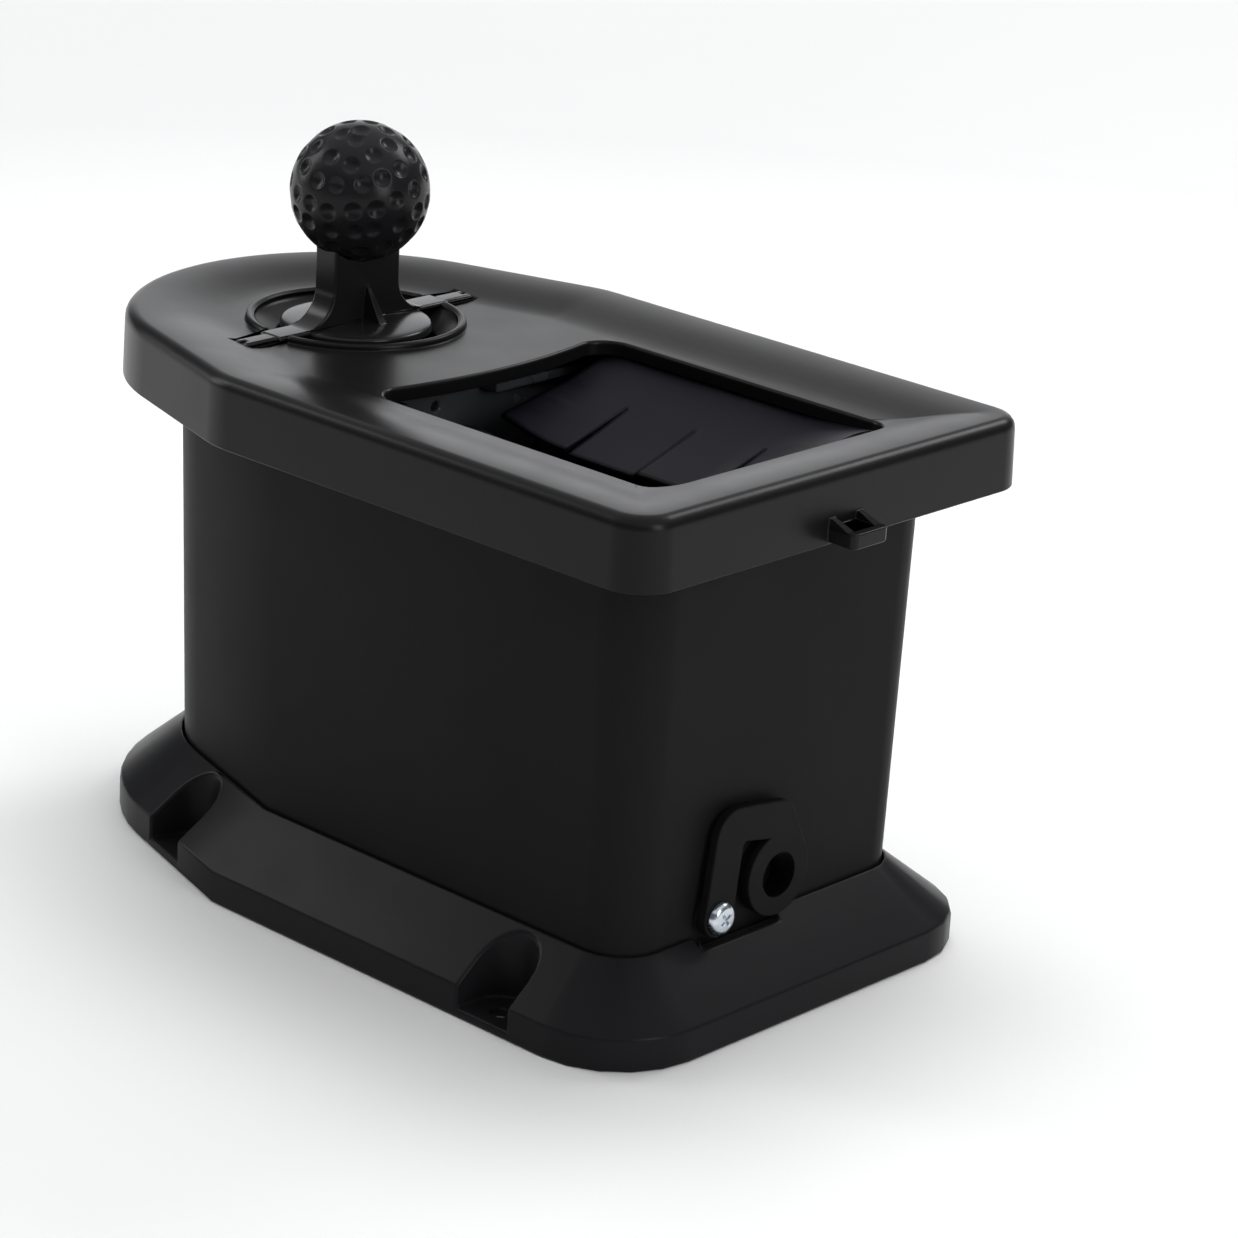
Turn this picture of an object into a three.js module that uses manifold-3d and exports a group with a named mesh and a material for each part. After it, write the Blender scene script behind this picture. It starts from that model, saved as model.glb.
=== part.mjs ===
// Golf ball and club washer: a moulded tank on a screw-down base, under a dished lid.
// A dimpled knob lifts the ball ring out of its brushes, and the long opening takes club heads.
// Units are millimetres, +Z is up, and the washer stands on z = 0.

import * as THREE from 'three';
import { mergeVertices } from 'three/addons/utils/BufferGeometryUtils.js';
import Module from 'manifold-3d';

const wasm = await Module();
wasm.setup();

// Clearances, and the overrun of every cut
const seatGap = 0.3;
const slideGap = 0.6;
const overrun = 6;

// Plan of the tank: square at one end, faceted and rounded about the plunger at the other
const facetAngle = THREE.MathUtils.degToRad(16.9);
const tankLength = 231;
const tankWidth = 121.8;
const tankCorner = 14;
const tankNoseRadius = 47.9;
const leastCorner = 1.5;

// How far the base and the lid reach out from the tank at its ends, sides and nose
const baseEndLedge = 20;
const baseSideLedge = 20.75;
const baseNoseLedge = 20.4;
const baseCorner = 30;
const lidEndEave = 19.5;
const lidSideEave = 21.6;
const lidNoseEave = 22.5;
const lidCorner = 12.5;

// Steps round a corner and round a nose
const cornerSteps = 5;
const noseSteps = 20;

// Base flange
const baseWall = 2.8;
const baseRimHeight = 10.5;
const baseRimRound = 1.2;
const seamHeight = 26.2;
const seamGroove = 0.7;
const deckThickness = 3.2;
const deckBorder = 26;
const notchWidth = 20;
const notchFloor = 3;
const notchLand = 2;
const notchHoleRadius = 2.75;
const notchFromEnd = 53.5;
const notchFromBend = 36;

// Tank: its floor lies below the seam, and its walls lean out as they rise
const tankWall = 3;
const tankFloor = 3;
const floorBelowSeam = 5.2;
const wallRise = 129.4;
const tankFlare = 2.65;
const rimFlangeThickness = 3;
const ribWidth = 3;
const ribReach = 4;
const bossRadius = 4.5;
const baseScrewTurnShare = 1.5;

// Lid: the border stands proud and the panel sinks gently to the middle
const panelAboveRim = 5.2;
const borderRise = 3.9;
const skirtHeight = 21.2;
const lidWall = 3;
const lidDraft = 0.5;
const lidRound = 4;
const dishWidth = 29;
const lidEdgeShares = [[0, 1], [0.15, 0.38], [0.5, 0.08], [1, 0]];
const lidDishShares = [[0.3, 0.14], [0.6, 0.55], [1, 1]];
const lidScrewShares = [1 / 3, -1 / 12];
const lidScrewTurnShare = 3;
const gasketThickness = 2.1;
const gasketWidth = 5;

// Club opening in the lid
const openingFromEnd = 24.4;
const openingFromDivider = 24.5;
const openingFromSide = 12.1;
const openingBulge = 4.5;
const openingCorner = 9;
const openingLip = 2.6;
const openingLipShare = 0.3;
const openingRim = 2.6;
const openingDepth = 3.8;

// The ball that is washed, and the plunger hole that it passes
const ballRadius = 21.35;
const ballBelowPanel = 48.8;
const plungerFromNose = 51.5;
const holeClearance = 2.95;
const funnelSpread = 7.2;
const funnelDepth = 4;
const ringLipWidth = 2.3;
const ringLipHeight = 2.3;
const ringLipBulgeShare = 0.5;
const ringLipRoundShare = 0.2;
const collarDepth = 8;
const roundSides = 32;

// Towel loop on the skirt
const loopReach = 9.7;
const loopWidth = 14.6;
const loopHeight = 4.5;
const loopBar = 3;
const loopRaise = 0.9;
const loopCorner = 2;

// Knob and handle
const knobRadius = 21.35;
const neckHeight = 39.15;
const dimplePitch = 7.8;
const dimpleRadius = 2.6;
const dimpleDepth = 0.75;
const knobDetail = 10;
const neckWidth = 27;
const neckThickness = 9.2;
const flareRadius = 10.7;
const wingRise = 1.7;
const wingReach = 47;
const wingTipLength = 11.6;
const wingTipWidth = 6;
const wingNotch = 1.8;
const discGap = 1.1;
const discThickness = 3;
const domeHeight = 7;
const domeShares = [[0.62, 0.14], [0.4, 0.45], [0.24, 1]];
const gussetHeight = 14;
const gussetThickness = 1.6;
const gussetFootShare = 0.62;
const studRadius = 3;
const studFoot = 2.5;

// Ball ring under the handle
const ringWidth = 12;
const ringGrip = 0.4;
const tangWidth = 10;
const tangThickness = 4;
const socketHeight = 8;
const socketWall = 3.6;

// Divider between the ball chamber and the club chamber
const dividerFromPlunger = 34.5;
const dividerThickness = 3;
const dividerEdgeGap = 1.8;
const dividerBelowRim = 7.6;
const ledgeReach = 8;
const ledgeStart = 18;

// Brushes
const brushBack = 3;
const ballBrushWidth = 44;
const ballBrushLength = 14.4;
const ballBristleMargin = 4;
const ballBristleRise = 34;
const ballBackBelowDivider = 2;
const ballBristleTopMargin = 1.6;
const sumpScrewShare = 0.25;
const clubBrushStandOff = 4;
const clubBrushLength = 20;
const clubBackRise = 20;
const clubBackBelowRim = 33.6;
const clubBackFromDivider = 9;
const clubBackFromEnd = 12;
const clubBristleInset = 16;
const clubBristleEndInset = 4;
const clubScrewInset = 8;
const floorBrushWidth = 48;
const floorBrushLength = 17;
const railLip = 1.6;
const bristleEnd = 6;
const bristleTaperShare = 0.25;

// Splash flaps under the opening
const flapThickness = 1.5;
const flapSlope = THREE.MathUtils.degToRad(19.5);
const flapEdgeFromMiddle = 5.06;
const flapEndGap = 4.8;
const flapDrop = 1.1;
const flapSlitLength = 29;
const flapSlitWidth = 0.8;
const flapFingers = 4;
const clampHeight = 4;
const clampScrewShares = [0.15, 0.85];

// Drain plug, its strap and the strap's screw
const drainAboveFloor = 2.5;
const plugHeadRadius = 10.7;
const plugHeadThickness = 4.8;
const plugStemRadius = 8.5;
const plugStemWall = 1.75;
const plugTip = 6.5;
const plugBoreDepth = 9;
const plugBoreOffset = 0.9;
const strapWidth = 11.4;
const strapThickness = 3;
const strapScrewY = -25.3;
const strapScrewDrop = 3.7;
const strapRise = 28.6;
const strapLean = 2;
const strapBend = 9;
const reliefClearance = 1.1;
const strapScrewLength = 14.7;
const strapHeadRadius = 5;
const strapHeadHeight = 2.6;
const panHeadShares = [[0.7, 1], [1, 0.4]];
const crossWidth = 1.2;
const crossArmShare = 0.55;
const crossDepthShare = 0.5;

// Screws that hold the shells and the fittings
const screwRadius = 1.6;
const screwHeadRadius = 3.2;
const screwHeadHeight = 2.2;
const screwSides = 6;
const bossSides = 12;
const lidScrewLength = 10;
const baseScrewLength = 10.5;
const fittingScrewLength = 7.5;
const clampScrewBite = 2.2;

// Outlines of base and lid, which follow the tank
const baseLength = tankLength + 2 * baseEndLedge;
const baseWidth = tankWidth + 2 * baseSideLedge;
const baseNoseRadius = tankNoseRadius + baseNoseLedge;
const lidLength = tankLength + 2 * lidEndEave;
const lidWidth = tankWidth + 2 * lidSideEave;
const lidNoseRadius = tankNoseRadius + lidNoseEave;

// Heights, from the floor of the tank up to the knob
const tankFloorBottom = seamHeight - floorBelowSeam;
const tankInside = tankFloorBottom + tankFloor;
const deckTop = tankFloorBottom - seatGap;
const tankRimHeight = seamHeight + wallRise;
const gasketBottom = tankRimHeight + seatGap;
const landBottom = gasketBottom + gasketThickness + seatGap;
const lidPanel = tankRimHeight + panelAboveRim;
const lidUnderside = lidPanel - lidWall;
const lidTop = lidPanel + borderRise;
const lidSkirtBottom = lidTop - skirtHeight;
const wingTop = lidPanel + wingRise;
const knobCentreZ = wingTop + neckHeight;
const totalHeight = knobCentreZ + knobRadius;
const studTop = knobCentreZ - knobRadius / 2 + studRadius;
const studBottom = wingTop + studFoot;

// Plunger, its hole and the ring that must pass it
const plungerX = plungerFromNose - tankLength / 2;
const holeRadius = ballRadius + holeClearance;
const funnelRadius = holeRadius + funnelSpread;
const discRadius = holeRadius - discGap;
const ballCentreZ = lidPanel - ballBelowPanel;
const ringOuterRadius = Math.sqrt((holeRadius - slideGap) ** 2 - (ringWidth / 2) ** 2);

// Divider and brushes
const dividerX = plungerX + dividerFromPlunger;
const dividerFace = dividerX + dividerThickness / 2;
const dividerBack = dividerX - dividerThickness / 2;
const dividerTop = tankRimHeight - dividerBelowRim;
const ballBackTop = dividerTop - ballBackBelowDivider;
const ballBristleLow = tankInside + ballBristleRise;
const ballBristleHigh = ballBackTop - 2 * screwHeadRadius - ballBristleTopMargin;
const ballBristleWidth = ballBrushWidth - 2 * ballBristleMargin;
const clubBackLow = tankInside + clubBackRise;
const clubBackHigh = tankRimHeight - clubBackBelowRim;
const clubBackNearX = dividerFace + clubBackFromDivider;
const clubBackFarX = tankLength / 2 - tankWall - clubBackFromEnd;
const clubBackY = tankSideAt(clubBackNearX) - clubBrushStandOff;

// Club opening and the flaps hinged beside it
const openingNearX = dividerX + openingFromDivider;
const openingFarX = lidLength / 2 - openingFromEnd;
const openingWidth = 2 * (tankSideAt(openingNearX) + tankWall - openingFromSide);
const hingeY = openingWidth / 2 + openingRim + slideGap;
const hingeZ = lidPanel - openingDepth - flapDrop;
const flapSpan = openingFarX - openingNearX - flapEndGap;
const flapMiddleX = openingNearX + flapSpan / 2;
const flapLength = (hingeY - flapEdgeFromMiddle) / Math.cos(flapSlope);
const clampInnerY = hingeY + flapThickness / 2 + seatGap;
const clampOuterY = tankSideAt(openingNearX) + flareAt(hingeZ) - slideGap;
const clampTop = lidUnderside - seatGap;
const clampBottom = clampTop - clampHeight;
const clampScrewLength = clampHeight + clampScrewBite;

// Drain plug, its strap and the strap's screw
const drainZ = tankInside + plugStemRadius + drainAboveFloor;
const plugBoreRadius = plugStemRadius - plugStemWall;
const plugFaceX = wallX(drainZ + plugHeadRadius) + seatGap + plugHeadThickness;
const strapBackX = plugFaceX - strapThickness;
const strapScrewZ = drainZ - strapScrewDrop;
const strapTop = drainZ + strapRise;

// Seats and tips of the screws through the rim
const lidScrewSeat = tankRimHeight - rimFlangeThickness - seatGap;
const lidScrewTop = lidScrewSeat + lidScrewLength;

// Outward face of the tank's square end at a height, which leans out as it rises
function wallX(z) {
  return tankLength / 2 + flareAt(z);
}

function flareAt(z) {
  return tankFlare * (z - seamHeight) / (tankRimHeight - seamHeight);
}

// Inner face of the tank's long wall at floor level, which the facets narrow towards the nose
function tankSideAt(x) {
  const side = tankWidth / 2 - tankWall;
  const bendX = bendAt(tankNoseRadius - tankLength / 2, tankNoseRadius - tankWall, side);
  return side - Math.max(0, bendX - x) * Math.tan(facetAngle);
}

// Points along an arc, ends included
function arc(x, y, radius, from, to, steps) {
  return new THREE.EllipseCurve(x, y, radius, radius, from, to, to < from, 0).getPoints(steps);
}

// Where a long side turns into the facet that runs on to the nose
function bendAt(noseX, nose, side) {
  return noseX - (nose - Math.cos(facetAngle) * side) / Math.sin(facetAngle);
}

// One counter-clockwise outline of the plan, drawn in by an inset
function outline(length, width, corner, noseRadius, inset) {
  const endX = length / 2 - inset;
  const side = width / 2 - inset;
  const round = Math.max(corner - inset, leastCorner);
  const nose = noseRadius - inset;
  const noseX = noseRadius - length / 2;
  const bendX = bendAt(noseX, nose, side);
  const quarter = Math.PI / 2;
  return [
    new THREE.Vector2(bendX, -side),
    ...arc(endX - round, round - side, round, -quarter, 0, cornerSteps),
    ...arc(endX - round, side - round, round, 0, quarter, cornerSteps),
    new THREE.Vector2(bendX, side),
    ...arc(noseX, 0, nose, quarter + facetAngle, 3 * quarter - facetAngle, noseSteps),
  ];
}

function lidOutline(inset) {
  return outline(lidLength, lidWidth, lidCorner, lidNoseRadius, inset);
}

function baseOutline(inset) {
  return outline(baseLength, baseWidth, baseCorner, baseNoseRadius, inset);
}

function tankOutline(inset) {
  return outline(tankLength, tankWidth, tankCorner, tankNoseRadius, inset);
}

// A closed skin through outlines of equal point count, stacked from the bottom up
function loft(sections) {
  const count = sections[0].points.length;
  const positions = [];
  const faces = [];
  sections.forEach(({ points, z }) => {
    points.forEach((point) => positions.push(point.x, point.y, z));
  });
  for (let level = 0; level < sections.length - 1; level += 1) {
    for (let i = 0; i < count; i += 1) {
      const next = (i + 1) % count;
      const low = level * count;
      const high = low + count;
      faces.push(low + i, low + next, high + next);
      faces.push(low + i, high + next, high + i);
    }
  }
  const topStart = (sections.length - 1) * count;
  THREE.ShapeUtils.triangulateShape(sections[0].points, []).forEach(([a, b, c]) => {
    faces.push(c, b, a);
  });
  THREE.ShapeUtils.triangulateShape(sections.at(-1).points, []).forEach(([a, b, c]) => {
    faces.push(topStart + a, topStart + b, topStart + c);
  });
  const geometry = new THREE.BufferGeometry();
  geometry.setAttribute('position', new THREE.Float32BufferAttribute(positions, 3));
  geometry.setIndex(faces);
  return geometry;
}

// A prism of one plan outline between two heights
function plate(points, low, high) {
  return loft([{ points, z: low }, { points, z: high }]);
}

function block(x0, x1, y0, y1, z0, z1) {
  return new THREE.BoxGeometry(x1 - x0, y1 - y0, z1 - z0)
    .translate((x0 + x1) / 2, (y0 + y1) / 2, (z0 + z1) / 2);
}

function upright(radius, x, y, low, high, sides = roundSides) {
  return new THREE.CylinderGeometry(radius, radius, high - low, sides)
    .rotateX(Math.PI / 2)
    .translate(x, y, (low + high) / 2);
}

function alongX(radius, y, z, from, to, sides = roundSides) {
  return new THREE.CylinderGeometry(radius, radius, to - from, sides)
    .rotateZ(Math.PI / 2)
    .translate((from + to) / 2, y, z);
}

function alongY(radius, x, z, from, to, sides = roundSides) {
  return new THREE.CylinderGeometry(radius, radius, to - from, sides)
    .translate(x, (from + to) / 2, z);
}

// A profile of [radius, height] pairs turned about the upright line through x
function turned(pairs, x = 0, sides = roundSides) {
  const profile = pairs.map(([radius, z]) => new THREE.Vector2(radius, z));
  return new THREE.LatheGeometry(profile, sides).rotateX(Math.PI / 2).translate(x, 0, 0);
}

function extruded(points, depth) {
  return new THREE.ExtrudeGeometry(new THREE.Shape(points), { depth, bevelEnabled: false });
}

// A drawing in the YZ plane, with its depth along X and centred on x = 0
function acrossX(points, depth) {
  return extruded(points, depth)
    .applyMatrix4(new THREE.Matrix4().makeBasis(
      new THREE.Vector3(0, 1, 0),
      new THREE.Vector3(0, 0, 1),
      new THREE.Vector3(1, 0, 0),
    ))
    .translate(-depth / 2, 0, 0);
}

// A drawing in the XZ plane, with its depth along Y and centred on y = 0
function acrossY(points, depth) {
  return extruded(points, depth).rotateX(Math.PI / 2).translate(0, depth / 2, 0);
}

function bareCopy(geometry) {
  const bare = geometry.clone();
  bare.deleteAttribute('normal');
  bare.deleteAttribute('uv');
  return bare;
}

// Booleans on closed bodies
function solid(geometry) {
  const merged = mergeVertices(bareCopy(geometry));
  return new wasm.Manifold(new wasm.Mesh({
    numProp: 3,
    vertProperties: new Float32Array(merged.attributes.position.array),
    triVerts: new Uint32Array(merged.index.array),
  }));
}

function shell(body) {
  const mesh = body.getMesh();
  const geometry = new THREE.BufferGeometry();
  geometry.setAttribute('position', new THREE.Float32BufferAttribute(mesh.vertProperties, 3));
  geometry.setIndex(new THREE.Uint32BufferAttribute(mesh.triVerts, 1));
  return geometry;
}

function join(...geometries) {
  return shell(geometries.map(solid).reduce((whole, body) => whole.add(body)));
}

function cut(geometry, ...tools) {
  return shell(tools.map(solid).reduce((whole, tool) => whole.subtract(tool), solid(geometry)));
}

// Notches: one pair beside the square end, one pair on the facets
function notchPlaces() {
  const side = baseWidth / 2;
  const bendX = bendAt(baseNoseRadius - baseLength / 2, baseNoseRadius, side);
  const places = [];
  [-1, 1].forEach((hand) => {
    places.push({ x: baseLength / 2 - notchFromEnd, y: hand * side, turn: 0, hand });
    places.push({
      x: bendX - notchFromBend * Math.cos(facetAngle),
      y: hand * (side - notchFromBend * Math.sin(facetAngle)),
      turn: -facetAngle,
      hand,
    });
  });
  return places;
}

// From the rim to the centre of a notch's round end, which stops just short of the tank's seam
function notchCentre() {
  return baseSideLedge - seamGroove - notchLand - notchWidth / 2;
}

// An upright U, open outwards and round at its inner end, set at a notch
function notchPrism(place, grow, low, high) {
  const radius = notchWidth / 2 + grow;
  const centre = notchCentre();
  const outside = grow > 0 ? 0 : -overrun;
  const points = [
    new THREE.Vector2(-radius, outside),
    new THREE.Vector2(radius, outside),
    ...arc(0, centre, radius, 0, Math.PI, cornerSteps * 2),
  ];
  return placeAt(plate(points, low, high), place);
}

// Local +Y of a notch points inwards from the rim
function placeAt(geometry, place) {
  const spin = place.hand < 0 ? place.turn : Math.PI - place.turn;
  return geometry.rotateZ(spin).translate(place.x, place.y, 0);
}

function notchHole(place) {
  const hole = upright(notchHoleRadius, 0, notchCentre(), -overrun, seamHeight, bossSides);
  return placeAt(hole, place);
}

function baseBody() {
  return loft([
    { points: baseOutline(0), z: 0 },
    { points: baseOutline(0), z: baseRimHeight - baseRimRound },
    { points: baseOutline(baseRimRound / 2), z: baseRimHeight },
    { points: tankOutline(-seamGroove), z: seamHeight },
  ]);
}

function makeBaseFlange() {
  const collar = plate(tankOutline(-seamGroove - baseWall), 0, seamHeight);
  const hollow = loft([
    { points: baseOutline(baseWall), z: -overrun },
    { points: baseOutline(baseWall), z: baseRimHeight - baseWall },
    { points: tankOutline(-seamGroove - baseWall), z: seamHeight - baseWall },
  ]);
  const places = notchPlaces();
  const tubs = places.map((place) => notchPrism(place, baseWall, 0, seamHeight));
  const body = solid(baseBody());
  const tubWalls = tubs.map(solid).reduce((whole, tub) => whole.add(tub)).intersect(body);
  const moulded = body.subtract(solid(hollow)).add(solid(collar).intersect(body)).add(tubWalls);
  const deckBottom = deckTop - deckThickness;
  return cut(
    shell(moulded),
    plate(tankOutline(-seamGroove), deckTop, seamHeight + overrun),
    plate(tankOutline(-seamGroove), -overrun, deckBottom),
    plate(tankOutline(deckBorder), -overrun, seamHeight),
    ...places.map((place) => notchPrism(place, 0, notchFloor, seamHeight + overrun)),
    ...places.map(notchHole),
    ...baseScrewPlaces().map(([x, y]) => (
      upright(screwRadius + slideGap, x, y, 0, seamHeight, screwSides))),
    drainRelief(),
  );
}

// Shallow pocket in the flange that clears the plug's head and the strap's foot
function drainRelief() {
  return block(
    tankLength / 2 - tankWall,
    plugFaceX + slideGap,
    strapScrewY - strapWidth / 2 - slideGap,
    plugHeadRadius + slideGap,
    drainZ - plugHeadRadius - reliefClearance,
    seamHeight + overrun,
  );
}

function baseScrewPlaces() {
  const inset = tankWall + bossRadius * 2;
  const noseX = tankNoseRadius - tankLength / 2;
  const reach = tankNoseRadius - inset;
  const angle = Math.PI / 2 + facetAngle * baseScrewTurnShare;
  return [-1, 1].flatMap((hand) => [
    [tankLength / 2 - inset, hand * (tankWidth / 2 - inset - bossRadius)],
    [noseX + reach * Math.cos(angle), hand * reach * Math.sin(angle)],
  ]);
}

// Places round the rim flange, half way between the skirt and its clearance
function lidScrewPlaces() {
  const inset = lidWall + lidDraft + slideGap + bossRadius;
  const side = lidWidth / 2 - inset;
  const noseX = lidNoseRadius - lidLength / 2;
  const reach = lidNoseRadius - inset;
  const angle = Math.PI / 2 + facetAngle * lidScrewTurnShare;
  return [-1, 1].flatMap((hand) => [
    ...lidScrewShares.map((share) => [lidLength * share, hand * side]),
    [noseX + reach * Math.cos(angle), hand * reach * Math.sin(angle)],
  ]);
}

function tankTopOutline(inset) {
  return tankOutline(inset - tankFlare);
}

function makeTank() {
  const body = loft([
    { points: tankOutline(-flareAt(tankFloorBottom)), z: tankFloorBottom },
    { points: tankTopOutline(0), z: tankRimHeight },
  ]);
  const cavity = loft([
    { points: tankOutline(tankWall - flareAt(tankInside)), z: tankInside },
    { points: tankTopOutline(tankWall), z: tankRimHeight },
    { points: tankTopOutline(tankWall), z: tankRimHeight + overrun },
  ]);
  const flangeInset = lidWall + lidDraft + slideGap;
  const flange = plate(lidOutline(flangeInset), tankRimHeight - rimFlangeThickness, tankRimHeight);
  const innerShape = loft([
    { points: tankOutline(tankWall / 2 - flareAt(tankInside)), z: tankInside - tankFloor / 2 },
    { points: tankTopOutline(tankWall / 2), z: tankRimHeight - rimFlangeThickness },
  ]);
  const hollow = solid(body).add(solid(flange)).subtract(solid(cavity));
  const strapWall = wallX(strapScrewZ);
  const bossTop = tankFloorBottom + baseScrewLength;
  const fittings = [
    ...dividerRibs(),
    ...clubBrushBosses(),
    ...ballBrushBosses(),
    ...floorRails(),
    ...baseScrewPlaces().map(([x, y]) => (
      upright(bossRadius, x, y, tankInside - tankFloor / 2, bossTop, bossSides))),
    alongX(bossRadius, strapScrewY, strapScrewZ, strapWall - plugTip - tankWall, strapWall, bossSides),
  ].map(solid).reduce((whole, fitting) => whole.add(fitting)).intersect(solid(innerShape));
  const pad = alongX(strapWidth / 2, strapScrewY, strapScrewZ, strapWall - tankWall / 2,
    strapBackX - seatGap, bossSides);
  const bore = screwRadius + seatGap;
  return cut(
    shell(hollow.add(fittings).add(solid(pad))),
    alongX(plugStemRadius + seatGap, 0, drainZ, wallX(drainZ) - tankWall - overrun,
      wallX(drainZ) + overrun),
    alongX(bore, strapScrewY, strapScrewZ, plugFaceX - strapScrewLength, plugFaceX, bossSides),
    ...lidScrewPlaces().map(([x, y]) => (
      upright(bore, x, y, tankRimHeight - rimFlangeThickness - overrun, tankRimHeight + overrun,
        screwSides))),
    ...baseScrewPlaces().map(([x, y]) => (
      upright(bore, x, y, 0, bossTop - tankWall / 2, screwSides))),
    ...clubScrewPlaces().map(([x, hand, z]) => (
      alongY(bore, x, z, ...clubScrewHole(hand), screwSides))),
    ...ballScrewHeights().map((z) => (
      alongX(bore, 0, z, noseBackX() - fittingScrewLength, noseBackX() + overrun, screwSides))),
  );
}

function clubScrewHole(hand) {
  return ordered(hand * clubBackY, hand * (clubBackY + clubBrushStandOff + tankWall / 2));
}

function ordered(a, b) {
  return [Math.min(a, b), Math.max(a, b)];
}

// Pairs of upright ribs on the long walls that hold the divider's edges
function dividerRibs() {
  const side = tankSideAt(dividerBack);
  const top = dividerTop - ledgeReach;
  return [-1, 1].flatMap((hand) => {
    const [y0, y1] = ordered(hand * (side - ribReach), hand * (side + tankFlare + tankWall));
    return [
      block(dividerFace + seatGap, dividerFace + seatGap + ribWidth, y0, y1, tankFloorBottom, top),
      block(dividerBack - seatGap - ribWidth, dividerBack - seatGap, y0, y1, tankFloorBottom, top),
    ];
  });
}

function clubScrewPlaces() {
  return [-1, 1].flatMap((hand) => [
    [clubBackNearX + clubBristleInset, hand, clubBackHigh - clubScrewInset],
    [clubBackFarX - clubBristleInset, hand, clubBackLow + clubScrewInset],
  ]);
}

function clubBrushBosses() {
  const root = tankWidth / 2 + tankWall;
  return clubScrewPlaces().map(([x, hand, z]) => (
    alongY(bossRadius, x, z, ...ordered(hand * (clubBackY + seatGap), hand * root), bossSides)));
}

// The nose brush stands the same distance from the plunger as the one on the divider
function noseBackX() {
  return 2 * plungerX - (dividerBack - seatGap);
}

function ballScrewHeights() {
  const margin = ballBristleRise * sumpScrewShare;
  return [ballBristleLow - margin, ballBackTop - screwHeadRadius - slideGap];
}

function ballBrushBosses() {
  return ballScrewHeights().map((z) => (
    alongX(bossRadius, 0, z, -tankLength / 2, noseBackX() - seatGap, bossSides)));
}

// Rails on the tank floor that grip the floor brush by its edges
function floorRails() {
  const edge = floorBrushWidth / 2;
  const lipLow = tankInside + seatGap + brushBack + seatGap;
  return [-1, 1].flatMap((hand) => {
    const [y0, y1] = ordered(hand * (edge + seatGap), hand * (edge + seatGap + ribWidth));
    const [lip0, lip1] = ordered(hand * (edge - railLip), hand * (edge + seatGap + ribWidth));
    return [
      block(clubBackNearX, clubBackFarX, y0, y1, tankFloorBottom, lipLow + railLip),
      block(clubBackNearX, clubBackFarX, lip0, lip1, lipLow, lipLow + railLip),
    ];
  });
}

// Lid panel: crown of the border, then the sink towards the middle
function lidSkin(drop, grow) {
  const crown = lidTop - drop;
  const edge = lidEdgeShares.map(([inward, down]) => ({
    points: lidOutline(lidDraft + lidRound * inward + grow),
    z: crown - lidRound * down,
  }));
  const dish = lidDishShares.map(([inward, down]) => ({
    points: lidOutline(lidRound + dishWidth * inward + grow),
    z: crown - borderRise * down,
  }));
  return [...edge, ...dish];
}

// The opening's near side bows towards the plunger hole's far side
function openingOutline(grow) {
  const side = openingWidth / 2 + grow;
  const near = openingNearX - grow;
  const far = openingFarX + grow;
  const round = openingCorner + grow;
  const quarter = Math.PI / 2;
  const bow = new THREE.QuadraticBezierCurve(
    new THREE.Vector2(near, side - round),
    new THREE.Vector2(near + openingBulge * 2, 0),
    new THREE.Vector2(near, round - side),
  ).getPoints(cornerSteps * 2).slice(1, -1);
  return [
    ...arc(near + round, round - side, round, -2 * quarter, -quarter, cornerSteps),
    ...arc(far - round, round - side, round, -quarter, 0, cornerSteps),
    ...arc(far - round, side - round, round, 0, quarter, cornerSteps),
    ...arc(near + round, side - round, round, quarter, 2 * quarter, cornerSteps),
    ...bow,
  ];
}

function openingCut() {
  return loft([
    { points: openingOutline(0), z: lidUnderside - overrun },
    { points: openingOutline(0), z: lidPanel - openingLip },
    { points: openingOutline(openingLip * openingLipShare), z: lidPanel - openingLip * openingLipShare },
    { points: openingOutline(openingLip), z: lidPanel },
    { points: openingOutline(openingLip), z: lidTop + overrun },
  ]);
}

// Plunger seat: funnel, guide collar and ring lip in one turned body
function plungerSeat() {
  const core = holeRadius - slideGap;
  const collar = holeRadius + lidWall;
  const collarLow = lidUnderside - collarDepth;
  const lipTop = lidPanel + ringLipHeight;
  const lipOuter = funnelRadius + ringLipWidth;
  return turned([
    [core, collarLow],
    [collar, collarLow],
    [collar, lidUnderside - funnelDepth],
    [lipOuter, lidUnderside],
    [lipOuter + ringLipWidth * ringLipBulgeShare, lidPanel],
    [lipOuter, lidPanel + ringLipHeight * ringLipBulgeShare],
    [lipOuter - ringLipWidth * ringLipRoundShare, lipTop],
    [funnelRadius + ringLipWidth * ringLipRoundShare, lipTop],
    [core, lipTop],
    [core, collarLow],
  ], plungerX);
}

function plungerHole() {
  const top = lidTop + overrun;
  const low = lidUnderside - collarDepth - overrun;
  return turned([
    [0, low],
    [holeRadius, low],
    [holeRadius, lidPanel - funnelDepth],
    [funnelRadius, lidPanel],
    [funnelRadius, top],
    [0, top],
  ], plungerX);
}

// Two gaps in the ring lip that the handle's wings lie in
function wingGaps() {
  const half = neckThickness / 2 + slideGap;
  return block(plungerX - half, plungerX + half, -wingReach, wingReach, lidPanel, lidTop + overrun);
}

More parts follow.
